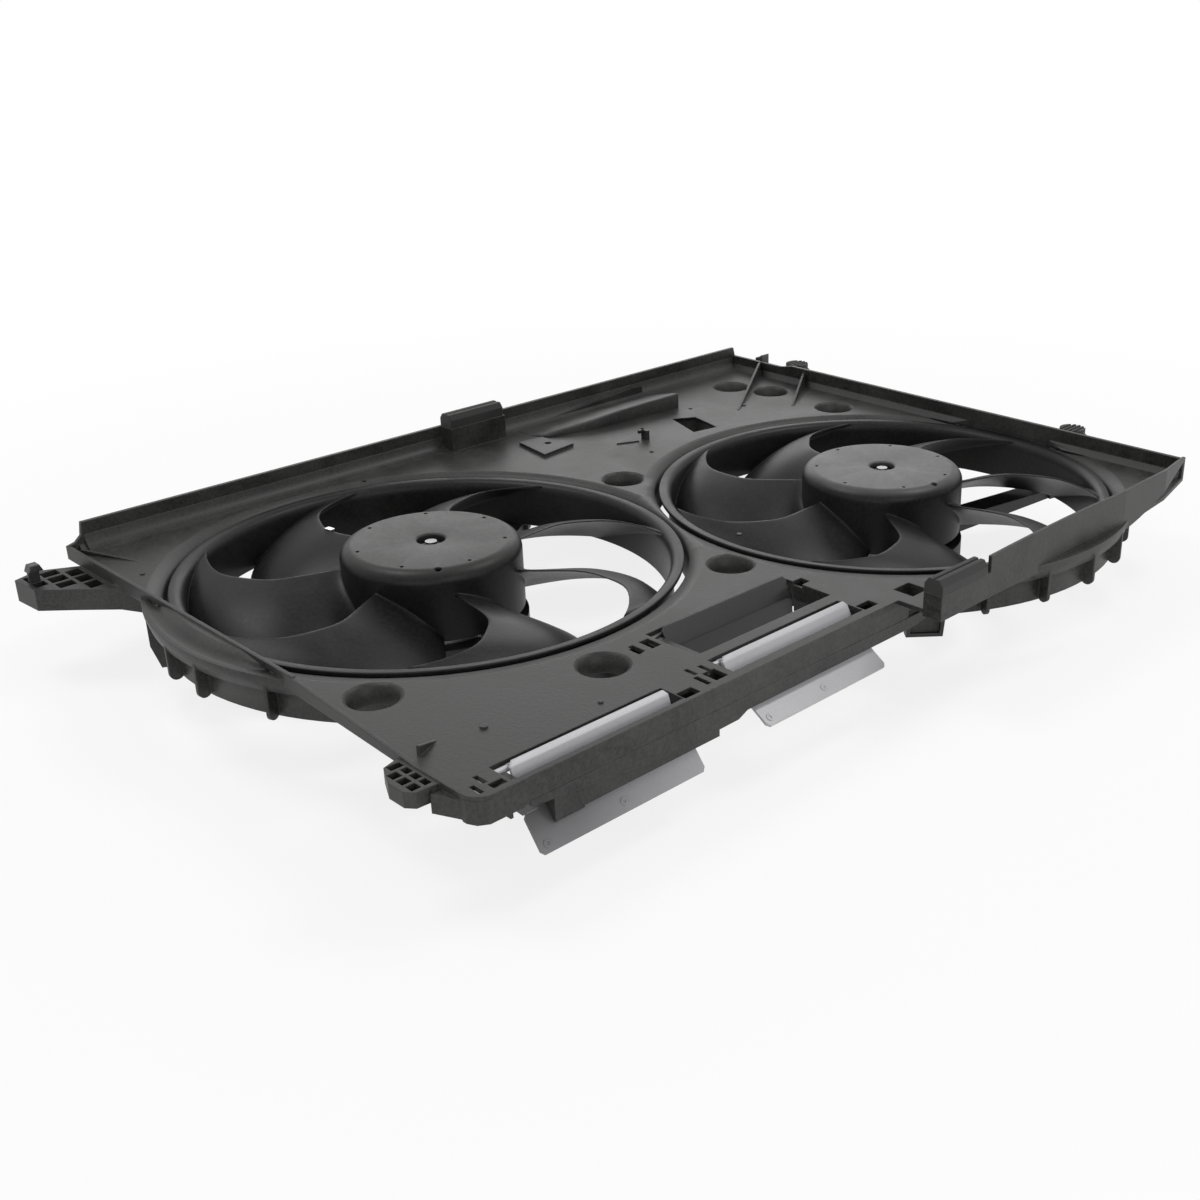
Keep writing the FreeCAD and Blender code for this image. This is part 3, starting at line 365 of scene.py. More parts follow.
for k in range(4):
    inner = [WINDOW[k], WINDOW[(k + 1) % 4]]
    outer = [(middle_x + WINDOW_WALL * (x - middle_x), middle_y + WINDOW_WALL * (y - middle_y))
             for x, y in reversed(inner)]
    outline_solid(points, faces, inner + outer, PLATE_TOP - 16.0, PLATE_TOP - 0.4)
outline_solid(points, faces, WINDOW_FLOOR, PLATE_TOP - 15.9, PLATE_TOP - 13.4)
brick(points, faces, 280.5, 283.0, 84.5, 92.0, PLATE_TOP - 0.5, PLATE_TOP + 8.0)
brick(points, faces, 276.5, 283.0, 90.0, 92.0, PLATE_TOP + 5.4, PLATE_TOP + 8.0)
outline_solid(points, faces, CABLE_LINE, PLATE_TOP - 0.3, PLATE_TOP + 1.0)
for x, y, radius in EJECTOR_BUMPS:
    outline_solid(points, faces, disc(x, y, radius), PLATE_TOP - 0.4, PLATE_TOP + 0.7)
for *sides, depth in SLOT_WALLS:
    brick(points, faces, *sides, PLATE_TOP - depth, PLATE_UNDER)
for x0, x1, y0, y1 in POCKETS:
    floor_top = PLATE_TOP - POCKET_DEPTH
    wall_span = (floor_top - OVERLAP, PLATE_UNDER)
    brick(points, faces, x0, x1, y0, y1, floor_top - POCKET_WALL, floor_top)
    brick(points, faces, x0, x1, y1 - POCKET_WALL, y1, *wall_span)
    brick(points, faces, x1 - POCKET_WALL, x1, y0, y1 - POCKET_WALL + OVERLAP, *wall_span)
for x0, x1, y0, y1, ledge in SILLS:
    brick(points, faces, x0, x1, y0, y1, PLATE_TOP - 12.0, PLATE_TOP - 10.4)
    brick(points, faces, x0, x1, y0, ledge, PLATE_TOP - 4.4, PLATE_TOP - 2.7)
outline_solid(points, faces, FLANGE_LINE, *FLANGE_FACES, "y")
outline_solid(points, faces, DUCT_BACK, -270.7, -269.6, "y")
outline_solid(points, faces, DUCT_CHEEK, -122.2, -120.6, "x")
details = made_of("plate_details", points, faces)
details.data.materials.append(shroud_black)
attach(details, "shroud")

# Motor supports: a cradle ring on three arms below each ring, moulded in the
# same nylon but cored out, so the skin is a little duller.
support_black = moulded_plastic(
    "support_black_nylon", (0.012, 0.012, 0.012), (0.026, 0.026, 0.025), 0.42, 0.62, (0.07, 0.07, 0.068),
    specular=0.28)
finish_with(support_black, "motor_support_left", "motor_support_right")

# Rubber parts: soft black blocks that the panel is hung from and rests on,
# pressed over moulded lugs. Dusty matt skin, a little paler at rubbed corners.
rubber = moulded_plastic(
    "dusty_rubber", (0.012, 0.012, 0.012), (0.03, 0.029, 0.028), 0.62, 0.85, (0.04, 0.04, 0.039),
    grain=420.0, bump=0.25, specular=0.2)
rubber.node_tree.nodes["Principled BSDF"].inputs["Sheen Weight"].default_value = 0.15
finish_with(rubber, "front_pad", "rear_pad", "mounting_pad_rear", "mounting_pad_front")

# Clips: a nylon harness clip and an edge clip, pushed on by hand. Smoother
# than the panel and a shade greyer.
clip_black = moulded_plastic(
    "clip_nylon", (0.016, 0.016, 0.016), (0.03, 0.03, 0.03), 0.3, 0.48, (0.1, 0.1, 0.1),
    grain=700.0, bump=0.08)
finish_with(clip_black, "edge_clip", "cable_clip")


# Motors: zinc-plated steel can, flange and screws around a copper-wound
# armature, ferrite magnets, and carbon brushes on a resin card. The plating
# is bright but cloudy, with fine drawing lines.
def drawn_metal(name, base, cloud, smooth, rough, stretch=(60.0, 60.0, 60.0), metal=1.0):
    """A metal or other hard finish: a cloudy change of colour and gloss along fine drawing lines."""
    made = bpy.data.materials.new(name)
    made.use_nodes = True
    tree = made.node_tree
    shader = tree.nodes["Principled BSDF"]
    shader.inputs["Metallic"].default_value = metal
    place = tree.nodes.new("ShaderNodeTexCoord")
    pull = tree.nodes.new("ShaderNodeMapping")
    pull.inputs["Scale"].default_value = stretch
    wire(tree, place.outputs["Object"], pull.inputs["Vector"])
    lines = tree.nodes.new("ShaderNodeTexNoise")
    lines.inputs["Scale"].default_value = 6.0
    lines.inputs["Detail"].default_value = 6.0
    wire(tree, pull.outputs["Vector"], lines.inputs["Vector"])
    tint = tree.nodes.new("ShaderNodeMix")
    tint.data_type = "RGBA"
    tint.inputs["A"].default_value = (*base, 1)
    tint.inputs["B"].default_value = (*cloud, 1)
    wire(tree, lines.outputs["Fac"], tint.inputs["Factor"])
    wire(tree, tint.outputs["Result"], shader.inputs["Base Color"])
    shine = tree.nodes.new("ShaderNodeMix")
    shine.inputs["A"].default_value = smooth
    shine.inputs["B"].default_value = rough
    wire(tree, lines.outputs["Fac"], shine.inputs["Factor"])
    wire(tree, shine.outputs["Result"], shader.inputs["Roughness"])
    raised = tree.nodes.new("ShaderNodeBump")
    raised.inputs["Strength"].default_value = 0.08
    raised.inputs["Distance"].default_value = 0.0003
    wire(tree, lines.outputs["Fac"], raised.inputs["Height"])
    wire(tree, raised.outputs["Normal"], shader.inputs["Normal"])
    return made


zinc = drawn_metal(
    "zinc_plated_steel", (0.52, 0.53, 0.54), (0.36, 0.37, 0.39), 0.28, 0.46, (20.0, 20.0, 90.0))
bright_steel = drawn_metal(
    "ground_steel", (0.62, 0.62, 0.61), (0.5, 0.5, 0.5), 0.16, 0.3, (30.0, 30.0, 200.0))
copper = drawn_metal(
    "enamelled_copper", (0.55, 0.2, 0.08), (0.36, 0.11, 0.04), 0.25, 0.4, (120.0, 120.0, 20.0))
ferrite = drawn_metal("ferrite", (0.03, 0.03, 0.032), (0.05, 0.05, 0.052), 0.5, 0.7, metal=0.0)
carbon = drawn_metal("brush_carbon", (0.02, 0.02, 0.021), (0.04, 0.04, 0.04), 0.4, 0.6, metal=0.0)
card_brown = drawn_metal("brush_card_resin", (0.09, 0.045, 0.02), (0.13, 0.07, 0.035), 0.4, 0.6, metal=0.0)
spring_steel = drawn_metal(
    "spring_steel", (0.3, 0.3, 0.3), (0.16, 0.16, 0.165), 0.25, 0.45, (40.0, 40.0, 40.0))
for side in ("left", "right"):
    finish_with(zinc, "motor_can_" + side, "motor_end_plate_" + side, "motor_flange_" + side)
    finish_with(bright_steel, "motor_screws_" + side, "rear_bearing_" + side, "front_bearing_" + side)
    finish_with(spring_steel, "motor_shaft_" + side, "hub_nut_" + side)
    finish_with(copper, "armature_" + side, "commutator_" + side)
    finish_with(ferrite, "magnets_" + side)
    finish_with(carbon, "brushes_" + side)
    finish_with(card_brown, "brush_card_" + side)

# Fan wheels: seven swept blades, hub cup and outer band moulded together in
# glass-filled polypropylene. The flat top of each hub is painted paler, as
# painted light from the lamps above, paler on the right wheel than on the left,
# with faint marks that run out from the shaft.
HUB_RADIUS, BAND_INNER, LIP_RADIUS = 61.0, 161.0, 170.7
HUB_TOP, HUB_LOW, LIP_TOP, BAND_LOW = 87.0, 38.0, 71.5, 37.0
WHEEL_WALL, BORE_RADIUS, RING_SEAT = 2.5, 4.1, 81.0
CUP_STEPS, BAND_STEPS = 160, 256
BLADES, SECTION_STEPS = 7, 18
BLADE_HIGH, BLADE_LOW, BLADE_THICK, BLADE_CAMBER = 70.0, 39.0, 3.0, 3.0
SPAN = (0.0, 0.28, 0.45, 0.62, 0.78, 0.88, 1.0, 1.12)
UPPER_EDGE = (0.0, 4.0, 4.5, 1.0, -3.5, -9.0, -18.0, -30.0)
LOWER_EDGE = (42.0, 41.0, 39.0, 35.0, 28.0, 22.0, 14.0, 6.0)
FIRST_BLADE = {"left": -112.0, "right": -87.8}
# Painted light: the paler grey painted on each hub's flat top, lighter on the right wheel
HUB_TOP_PAINTED_LIGHT = {"left": (0.029, 0.029, 0.028, 1), "right": (0.074, 0.074, 0.075, 1)}
# Holes in the hub's top: angle, distance from the shaft, radius and height of the bottom
PIN_HOLES = [(118.8 + 360.0 * k / BLADES, 50.0, 1.4, 85.2) for k in range(BLADES)]
BALANCE_HOLE = (-9.0, 54.0, 2.4, 82.0)


def lathe(points, faces, profile, steps):
    """Adds a closed profile of (radius, height) turned about Z."""
    start = len(points)
    for step in range(steps):
        turn = 2.0 * math.pi * step / steps
        for radius, height in profile:
            points.append((radius * math.cos(turn), radius * math.sin(turn), height))
    count = len(profile)
    for step in range(steps):
        here, there = start + step * count, start + (step + 1) % steps * count
        for k in range(count):
            faces.append((here + k, there + k, there + (k + 1) % count, here + (k + 1) % count))


def rounding(cx, cz, radius, first, last, steps):
    """Points of a quarter round in the profile, between two angles in degrees."""
    row = []
    for k in range(steps + 1):
        turn = math.radians(first + (last - first) * k / steps)
        row.append((cx + radius * math.cos(turn), cz + radius * math.sin(turn)))
    return row


def edge_angle(share, edge):
    """Smooth curve through the stations of a blade edge."""
    if share <= SPAN[0]:
        return edge[0]
    i = max(k for k in range(len(SPAN) - 1) if SPAN[k] <= share)
    slopes = []
    for k in (i, i + 1):
        before, after = max(k - 1, 0), min(k + 1, len(SPAN) - 1)
        slopes.append((edge[after] - edge[before]) / (SPAN[after] - SPAN[before]))
    width = SPAN[i + 1] - SPAN[i]
    t = (share - SPAN[i]) / width
    return (edge[i] * (1 - t) ** 2 * (1 + 2 * t) + edge[i + 1] * t * t * (3 - 2 * t)
            + width * t * (1 - t) * (slopes[0] * (1 - t) - slopes[1] * t))


def blade_loop(radius):
    """Closed section at one radius as (angle, height): thin edges, thick middle, swollen at both roots."""
    share = (radius - HUB_RADIUS) / (BAND_INNER - HUB_RADIUS)
    upper, lower = edge_angle(share, UPPER_EDGE), edge_angle(share, LOWER_EDGE)
    swell = (1.0 + 1.3 * math.exp(-abs(radius - HUB_RADIUS) / 2.4)
             + 0.9 * math.exp(-abs(BAND_INNER - radius) / 1.8))
    slope = math.atan2(BLADE_LOW - BLADE_HIGH, math.radians(lower - upper) * radius)
    row = []
    for side in (1, -1):
        for k in range(SECTION_STEPS):
            t = 0.5 - 0.5 * side * math.cos(math.pi * k / SECTION_STEPS)
            nose = min(1.0, 9.0 * math.sqrt(max(t * (1 - t), 0.0)))
            half = 0.5 * side * BLADE_THICK * (0.4 + 0.6 * math.sin(math.pi * t)) * swell * nose
            along = math.radians(upper + t * (lower - upper)) * radius - half * math.sin(slope)
            height = (BLADE_HIGH + t * (BLADE_LOW - BLADE_HIGH) + BLADE_CAMBER * math.sin(math.pi * t)
                      + half * math.cos(slope))
            row.append((along / radius, height))
    return row


def blade(points, faces, turn):
    """Adds one blade: its sections from inside the hub's wall to inside the band's wall."""
    stations = [59.6, 60.6, 61.2, 62.0, 63.2, 65.0, 67.5]
    stations += [70.0 + 4.0 * k for k in range(22)]
    stations += [156.5, 158.5, 159.8, 160.6, 161.4, 162.3]
    start = len(points)
    count = len(blade_loop(stations[0]))
    for radius in stations:
        for angle, height in blade_loop(radius):
            at = angle + math.radians(turn)
            points.append((radius * math.cos(at), radius * math.sin(at), height))
    for i in range(len(stations) - 1):
        here, there = start + i * count, start + (i + 1) * count
        for k in range(count):
            faces.append((here + k, here + (k + 1) % count, there + (k + 1) % count, there + k))
    faces.append(tuple(start + k for k in reversed(range(count))))
    faces.append(tuple(start + (len(stations) - 1) * count + k for k in range(count)))


def fan_wheel(side, centre):
    """Hub cup with its drilled top, then the band and the blades, in one mesh."""
    inner = HUB_RADIUS - WHEEL_WALL
    cup = [(7.5, RING_SEAT), (9.2, RING_SEAT), (9.6, 82.0), (9.6, 86.2), (10.4, 86.9), (11.5, HUB_TOP),
           (30.0, HUB_TOP)]
    cup += rounding(HUB_RADIUS - 9.0, HUB_TOP - 9.0, 9.0, 90.0, 0.0, 14)
    cup += [(HUB_RADIUS, HUB_LOW + 0.5), (HUB_RADIUS - 0.5, HUB_LOW), (inner + 0.4, HUB_LOW),
            (inner, HUB_LOW + 0.4)]
    cup += rounding(inner - 6.5, HUB_TOP - 9.0, 6.5, 0.0, 90.0, 8)
    cup += [(15.0, 84.5), (13.0, 78.5), (9.0, 78.5), (9.0, 70.0), (BORE_RADIUS, 70.0),
            (BORE_RADIUS, RING_SEAT)]
    band_out = BAND_INNER + WHEEL_WALL
    band = [(band_out, BAND_LOW), (band_out, 66.0), (band_out + 2.5, 69.0), (LIP_RADIUS, 69.0),
            (LIP_RADIUS, 71.0), (LIP_RADIUS - 0.5, LIP_TOP), (BAND_INNER + 6.5, LIP_TOP)]
    band += [(BAND_INNER + 4.4, 71.25), (BAND_INNER + 2.7, 70.4), (BAND_INNER + 1.3, 68.9),
             (BAND_INNER + 0.4, 66.6), (BAND_INNER, 63.5), (BAND_INNER, BAND_LOW + 0.5),
             (BAND_INNER + 0.5, BAND_LOW)]
    points, faces = [], []
    lathe(points, faces, cup, CUP_STEPS)
    hub = made_of("fan_wheel_" + side, points, faces, centre, FIRST_BLADE[side])
    points, faces = [], []
    for turn, reach, radius, bottom in [*PIN_HOLES, BALANCE_HOLE]:
        turn = math.radians(turn)
        outline_solid(points, faces, disc(reach * math.cos(turn), reach * math.sin(turn), radius), bottom,
                      HUB_TOP + 3.0)
    bored(hub, made_of("pin_drills_" + side, points, faces, centre, FIRST_BLADE[side]))
    points, faces = [], []
    lathe(points, faces, band, BAND_STEPS)
    for k in range(BLADES):
        blade(points, faces, 360.0 * k / BLADES)
    rest = made_of("fan_blades_" + side, points, faces, centre, FIRST_BLADE[side])
    joined = bmesh.new()
    joined.from_mesh(hub.data)
    joined.from_mesh(rest.data)
    joined.to_mesh(hub.data)
    joined.free()
    hub.data.set_sharp_from_angle(angle=math.radians(38.0))
    bpy.data.objects.remove(rest)
    return hub


def shaft_of(side):
    """Place of one fan's shaft in the plane, and the height of its hub's top, in metres."""
    low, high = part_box("impeller_" + side)
    middle = 0.5 * (Vector(low) + Vector(high))
    return (middle.x, middle.y), high[2]


for side in ("left", "right"):
    centre, hub_top = shaft_of(side)
    wheel = moulded_plastic(
        "fan_wheel_plastic_" + side, (0.004, 0.004, 0.004), (0.018, 0.018, 0.0175), 0.34, 0.5,
        (0.045, 0.045, 0.044), grain=420.0, bump=0.14, edge=0.3, specular=0.17)
    tree = wheel.node_tree
    place = tree.nodes.new("ShaderNodeTexCoord")
    from_shaft = tree.nodes.new("ShaderNodeVectorMath")
    from_shaft.operation = "SUBTRACT"
    from_shaft.inputs[1].default_value = (*centre, 0.0)
    wire(tree, place.outputs["Object"], from_shaft.inputs[0])
    flat = tree.nodes.new("ShaderNodeVectorMath")
    flat.operation = "MULTIPLY"
    flat.inputs[1].default_value = (1.0, 1.0, 0.0)
    wire(tree, from_shaft.outputs["Vector"], flat.inputs[0])
    height = tree.nodes.new("ShaderNodeSeparateXYZ")
    wire(tree, from_shaft.outputs["Vector"], height.inputs["Vector"])
    on_top = tree.nodes.new("ShaderNodeMapRange")
    on_top.inputs["From Min"].default_value = hub_top - 4.5 * MM
    on_top.inputs["From Max"].default_value = hub_top - 0.8 * MM
    wire(tree, height.outputs["Z"], on_top.inputs["Value"])
    outward = tree.nodes.new("ShaderNodeVectorMath")
    outward.operation = "NORMALIZE"
    wire(tree, flat.outputs["Vector"], outward.inputs[0])
    streak = tree.nodes.new("ShaderNodeTexNoise")
    streak.inputs["Scale"].default_value = 2.6
    streak.inputs["Detail"].default_value = 2.0
    wire(tree, outward.outputs["Vector"], streak.inputs["Vector"])
    grey = tree.nodes.new("ShaderNodeMapRange")
    grey.inputs["From Min"].default_value = 0.3
    grey.inputs["From Max"].default_value = 0.7
    grey.inputs["To Min"].default_value = 0.7
    wire(tree, streak.outputs["Fac"], grey.inputs["Value"])
    both = tree.nodes.new("ShaderNodeMath")
    both.operation = "MULTIPLY"
    wire(tree, grey.outputs["Result"], both.inputs[0])
    wire(tree, on_top.outputs["Result"], both.inputs[1])
    # Painted light: the hub's flat top is mixed towards its paler grey, broken up by the marks from the shaft
    painted_top_light = tree.nodes.new("ShaderNodeMix")
    painted_top_light.data_type = "RGBA"
    painted_top_light.inputs["B"].default_value = HUB_TOP_PAINTED_LIGHT[side]
    wire(tree, both.outputs[0], painted_top_light.inputs["Factor"])
    wire(tree, tree.nodes["Skin colour"].outputs["Result"], painted_top_light.inputs["A"])
    wire(tree, painted_top_light.outputs["Result"], tree.nodes["Principled BSDF"].inputs["Base Color"])
    fan = fan_wheel(side, centre)
    fan.data.materials.clear()
    fan.data.materials.append(wheel)
    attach(fan, "fan_" + side)
    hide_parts("impeller_" + side)

# Splined retaining ring on each shaft end: pressed spring steel with twelve
# teeth, down in the recess of the hub.
RING_STEPS, TOOTH_TIP, TOOTH_ROOT = 48, 6.6, 5.3
RING_TOP, TEETH_TOP = 83.4, 83.0

for side in ("left", "right"):
    centre, _ = shaft_of(side)
    tips, roots = (disc(0.0, 0.0, radius, RING_STEPS) for radius in (TOOTH_TIP, TOOTH_ROOT))
    teeth = [tips[k] if k % 4 in (0, 1) else roots[k] for k in range(RING_STEPS)]
    inside = disc(0.0, 0.0, BORE_RADIUS, RING_STEPS)
    points, faces = [], []
    for outline, level in ((inside, RING_SEAT), (inside, RING_TOP), (teeth, RING_SEAT), (teeth, TEETH_TOP)):
        points.extend((x, y, level) for x, y in outline)
    for k in range(RING_STEPS):
        low_in, high_in, low_out, high_out = (row * RING_STEPS + k for row in range(4))
        step = (k + 1) % RING_STEPS - k
        faces.append((low_in, low_in + step, low_out + step, low_out))
        faces.append((high_in, high_out, high_out + step, high_in + step))
        faces.append((low_in, high_in, high_in + step, low_in + step))
        faces.append((low_out, low_out + step, high_out + step, high_out))
    ring = made_of("retaining_ring_" + side, points, faces, centre, smooth=30.0)
    ring.data.materials.append(spring_steel)
    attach(ring, "fan_" + side)
    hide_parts("hub_nut_" + side)

# The balance clip on the left fan: bright spring steel, pushed over the edge
# of one blade near the hub.
CLIP_SPOT = (-17.0, 102.5)
CLIP_HALF = 3.2
CLIP_PROFILE = [(-1.9, 65.5), (-1.3, 65.5), (-1.3, 70.9), (1.5, 70.9), (1.5, 65.5), (2.1, 65.5), (2.1, 71.6),
                (-1.9, 71.6)]

centre, _ = shaft_of("left")
away_x, away_y = (spot - axis / MM for spot, axis in zip(CLIP_SPOT, centre))
reach = math.hypot(away_x, away_y)
share = (reach - HUB_RADIUS) / (BAND_INNER - HUB_RADIUS)
pointing = math.degrees(math.atan2(away_y, away_x))
edges = (FIRST_BLADE["left"] + 360.0 * k / BLADES + edge_angle(share, UPPER_EDGE)
         for k in range(-BLADES, 2 * BLADES))
nearest = min(edges, key=lambda turn: abs(turn - pointing))
points, faces = [], []
outline_solid(points, faces, CLIP_PROFILE, reach - CLIP_HALF, reach + CLIP_HALF, "x")
clip = made_of("balance_clip", points, faces, centre, nearest, smooth=20.0)
clip.data.materials.append(bright_steel)
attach(clip, "fan_left")

# Ram air flaps: three talc-filled polypropylene shutters that hang in the
# slots on moulded rods. Satin skin. The rear flap is painted near-black as
# painted shade, for the shadow it hangs in, and the lower leaves of the other
# two carry painted shade under the flange, darkest at the left end.
flap_grey = moulded_plastic(
    "flap_grey_polypropylene", (0.51, 0.505, 0.525), (0.57, 0.565, 0.585), 0.27, 0.36, (0.68, 0.675, 0.69),
    grain=500.0, bump=0.03, marks=18.0, edge=0.35, corner=0.0003)
# Painted shade: the rear flap's near-black stands for the shadow it hangs in
flap_painted_shade = moulded_plastic(
    "flap_polypropylene_painted_shade", (0.012, 0.012, 0.013), (0.028, 0.028, 0.029), 0.26, 0.42, (0.06, 0.06, 0.06),
    grain=500.0, bump=0.05, marks=9.0, edge=0.35)

tree = flap_grey.node_tree
place = tree.nodes.new("ShaderNodeTexCoord")
spot = tree.nodes.new("ShaderNodeSeparateXYZ")
wire(tree, place.outputs["Object"], spot.inputs["Vector"])
# Painted shade on the lower leaves: darkest high up a lower leaf under the flange, lighter to the right, and
# none on an upper leaf
painted_shade = None
for axis, start, end, share_at_start, share_at_end in (
        ("Z", 0.024, 0.046, 0.78, 1.0), ("X", -0.11, 0.03, 1.0, 0.45), ("Z", 0.060, 0.064, 1.0, 0.0)):
    share = tree.nodes.new("ShaderNodeMapRange")
    share.inputs["From Min"].default_value = start
    share.inputs["From Max"].default_value = end
    share.inputs["To Min"].default_value = share_at_start
    share.inputs["To Max"].default_value = share_at_end
    wire(tree, spot.outputs[axis], share.inputs["Value"])
    if painted_shade is None:
        painted_shade = share.outputs["Result"]
        continue
    product = tree.nodes.new("ShaderNodeMath")
    product.operation = "MULTIPLY"
    wire(tree, painted_shade, product.inputs[0])
    wire(tree, share.outputs["Result"], product.inputs[1])
    painted_shade = product.outputs[0]
# Painted shade: the lower leaves are mixed towards near-black by this mask
shade_paint = tree.nodes.new("ShaderNodeMix")
shade_paint.data_type = "RGBA"
shade_paint.inputs["B"].default_value = (0.045, 0.045, 0.047, 1)
wire(tree, painted_shade, shade_paint.inputs["Factor"])
wire(tree, tree.nodes["Skin colour"].outputs["Result"], shade_paint.inputs["A"])
wire(tree, shade_paint.outputs["Result"], tree.nodes["Principled BSDF"].inputs["Base Color"])

# Each flap: ends of the upper leaf, ends of the lower leaf, and the line of its middle from the top edge down
FLAP_SHAPES = {
    "left": (flap_grey, (-139.6, -28.2), (-136.6, -17.4), (-252.1, 68.5),
             [(-256.5, 75.0), (-262.4, 61.0), (-261.9, 44.6), (-276.5, 25.9)]),
    "right": (flap_grey, (21.0, 133.4), (29.6, 139.4), (-246.6, 68.5),
              [(-251.3, 74.9), (-259.0, 61.4), (-262.8, 48.7), (-281.4, 36.6)]),
    "rear": (flap_painted_shade, (25.6, 137.4), (32.6, 151.4), (-194.6, 68.5),
             [(-196.4, 74.9), (-203.0, 62.4), (-204.2, 44.6), (-218.9, 25.9)]),
}
LEAF_HALF, ROD_RADIUS = 0.85, 1.9
# How far in the corners of a leaf are clipped, and how far down the clip runs
UPPER_CORNER, LOWER_CORNER = (2.6, 3.0), (2.2, 2.4)
ROD_OUTWARD, ROD_INWARD = 7.0, 5.0
MARK_PROFILE, MARK_STEPS = ((2.3, 0.6), (2.3, 1.25), (1.1, 1.25), (1.1, 0.6)), 20


def leaf(points, faces, x0, x1, line, clip):
    """Adds a thin bent plate along X, following the line of its middle, with clipped outer corners."""
    offsets = []
    for k, (y, z) in enumerate(line):
        before, after = line[max(k - 1, 0)], line[min(k + 1, len(line) - 1)]
        along = Vector((after[0] - before[0], after[1] - before[1])).normalized()
        offsets.append((-along.y * LEAF_HALF, along.x * LEAF_HALF))
    ends = [(x0 + clip, x1 - clip) if k in (0, len(line) - 1) else (x0, x1) for k in range(len(line))]
    rows = []
    for side in (1, -1):
        for k, (y, z) in enumerate(line):
            oy, oz = offsets[k]
            rows.append([(x, y + side * oy, z + side * oz) for x in ends[k]])
    start, count = len(points), len(line)
    for row in rows:
        points.extend(row)

    def at(side, k, end):
        return start + 2 * (side * count + k) + end

    for k in range(count - 1):
        faces.append((at(0, k, 0), at(0, k, 1), at(0, k + 1, 1), at(0, k + 1, 0)))
        faces.append((at(1, k, 0), at(1, k + 1, 0), at(1, k + 1, 1), at(1, k, 1)))
        for end in (0, 1):
            faces.append((at(0, k, end), at(0, k + 1, end), at(1, k + 1, end), at(1, k, end)))
    for k in (0, count - 1):
        faces.append((at(0, k, 0), at(0, k, 1), at(1, k, 1), at(1, k, 0)))


def stepped(line, reach):
    """The line with one more point a little way in from each end, so that the clipped corners stay small."""
    (y0, z0), (y1, z1) = line[0], line[1]
    run = math.hypot(y1 - y0, z1 - z0)
    first = (y0 + (y1 - y0) * reach / run, z0 + (z1 - z0) * reach / run)
    (y2, z2), (y3, z3) = line[-1], line[-2]
    run = math.hypot(y3 - y2, z3 - z2)
    last = (y2 + (y3 - y2) * reach / run, z2 + (z3 - z2) * reach / run)
    return [line[0], first] + line[1:-1] + [last, line[-1]]


for side, (material, upper, lower, hinge, line) in FLAP_SHAPES.items():
    points, faces = [], []
    for ends, course, (clipped, run) in ((upper, line[:3], UPPER_CORNER), (lower, line[2:], LOWER_CORNER)):
        leaf(points, faces, *ends, stepped(course, run), clipped)
    for x0, x1 in ((upper[0] - ROD_OUTWARD, upper[0] + ROD_INWARD),
                   (upper[1] - ROD_INWARD, upper[1] + ROD_OUTWARD)):
        outline_solid(points, faces, disc(*hinge, ROD_RADIUS), x0, x1, "x")
    # A web from the rod to the upper leaf, near each end
    web = [(hinge[0] - 1.6, hinge[1] - 1.6), (hinge[0] + 1.6, hinge[1] + 1.6),
           (line[0][0] + 0.6, line[0][1] - 2.0), (line[1][0] + 0.4, line[1][1])]
    for x in (upper[0] + 4.0, upper[1] - 4.0):
        outline_solid(points, faces, web, x - 0.9, x + 0.9, "x")
    # Round marks, raised on the face of the lower leaf near its lower edge
    (y0, z0), (y1, z1) = line[2], line[3]
    down = Vector((0.0, y1 - y0, z1 - z0)).normalized()
    out = Vector((0.0, down.z, -down.y))
    for x, far in ((lower[0] + 5.4, 5.0), (0.5 * (lower[0] + lower[1]), 6.0)):
        spot = Vector((x, y1, z1)) - down * far
        start = len(points)
        for radius, height in MARK_PROFILE:
            for k in range(MARK_STEPS):
                turn = 2 * math.pi * k / MARK_STEPS
                points.append(tuple(spot + out * height + Vector((math.cos(turn) * radius, 0.0, 0.0))
                                    + down * math.sin(turn) * radius))
        for row in range(4):
            here, there = start + row * MARK_STEPS, start + (row + 1) % 4 * MARK_STEPS
            for k in range(MARK_STEPS):
                faces.append((here + k, here + (k + 1) % MARK_STEPS, there + (k + 1) % MARK_STEPS, there + k))
    shutter = made_of("flap_" + side, points, faces, smooth=0.5)
    shutter.data.materials.append(material)
    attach(shutter, "flap_" + side)
    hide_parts("ram_air_flap_" + side)

# Floor, light and camera: a white sweep under two soft boxes, with a window
# behind, a fill in front and two low strips, and the camera where the
# photographer stood, low in front. The backdrop is plain white.
PART_MIDDLE = (0.16, -0.05, 0.06)
SWEEP_HALF = 6


def backdrop_rays(tree):
    """1 for the rays that show the backdrop: from the camera, through clear pieces and mirrored in metal."""
    path = tree.nodes.new("ShaderNodeLightPath")
    shown = path.outputs["Is Camera Ray"]
    for kind in ("Is Transmission Ray", "Is Glossy Ray"):
        either = tree.nodes.new("ShaderNodeMath")
        either.operation = "MAXIMUM"
        wire(tree, shown, either.inputs[0])
        wire(tree, path.outputs[kind], either.inputs[1])
        shown = either.outputs[0]
    return shown


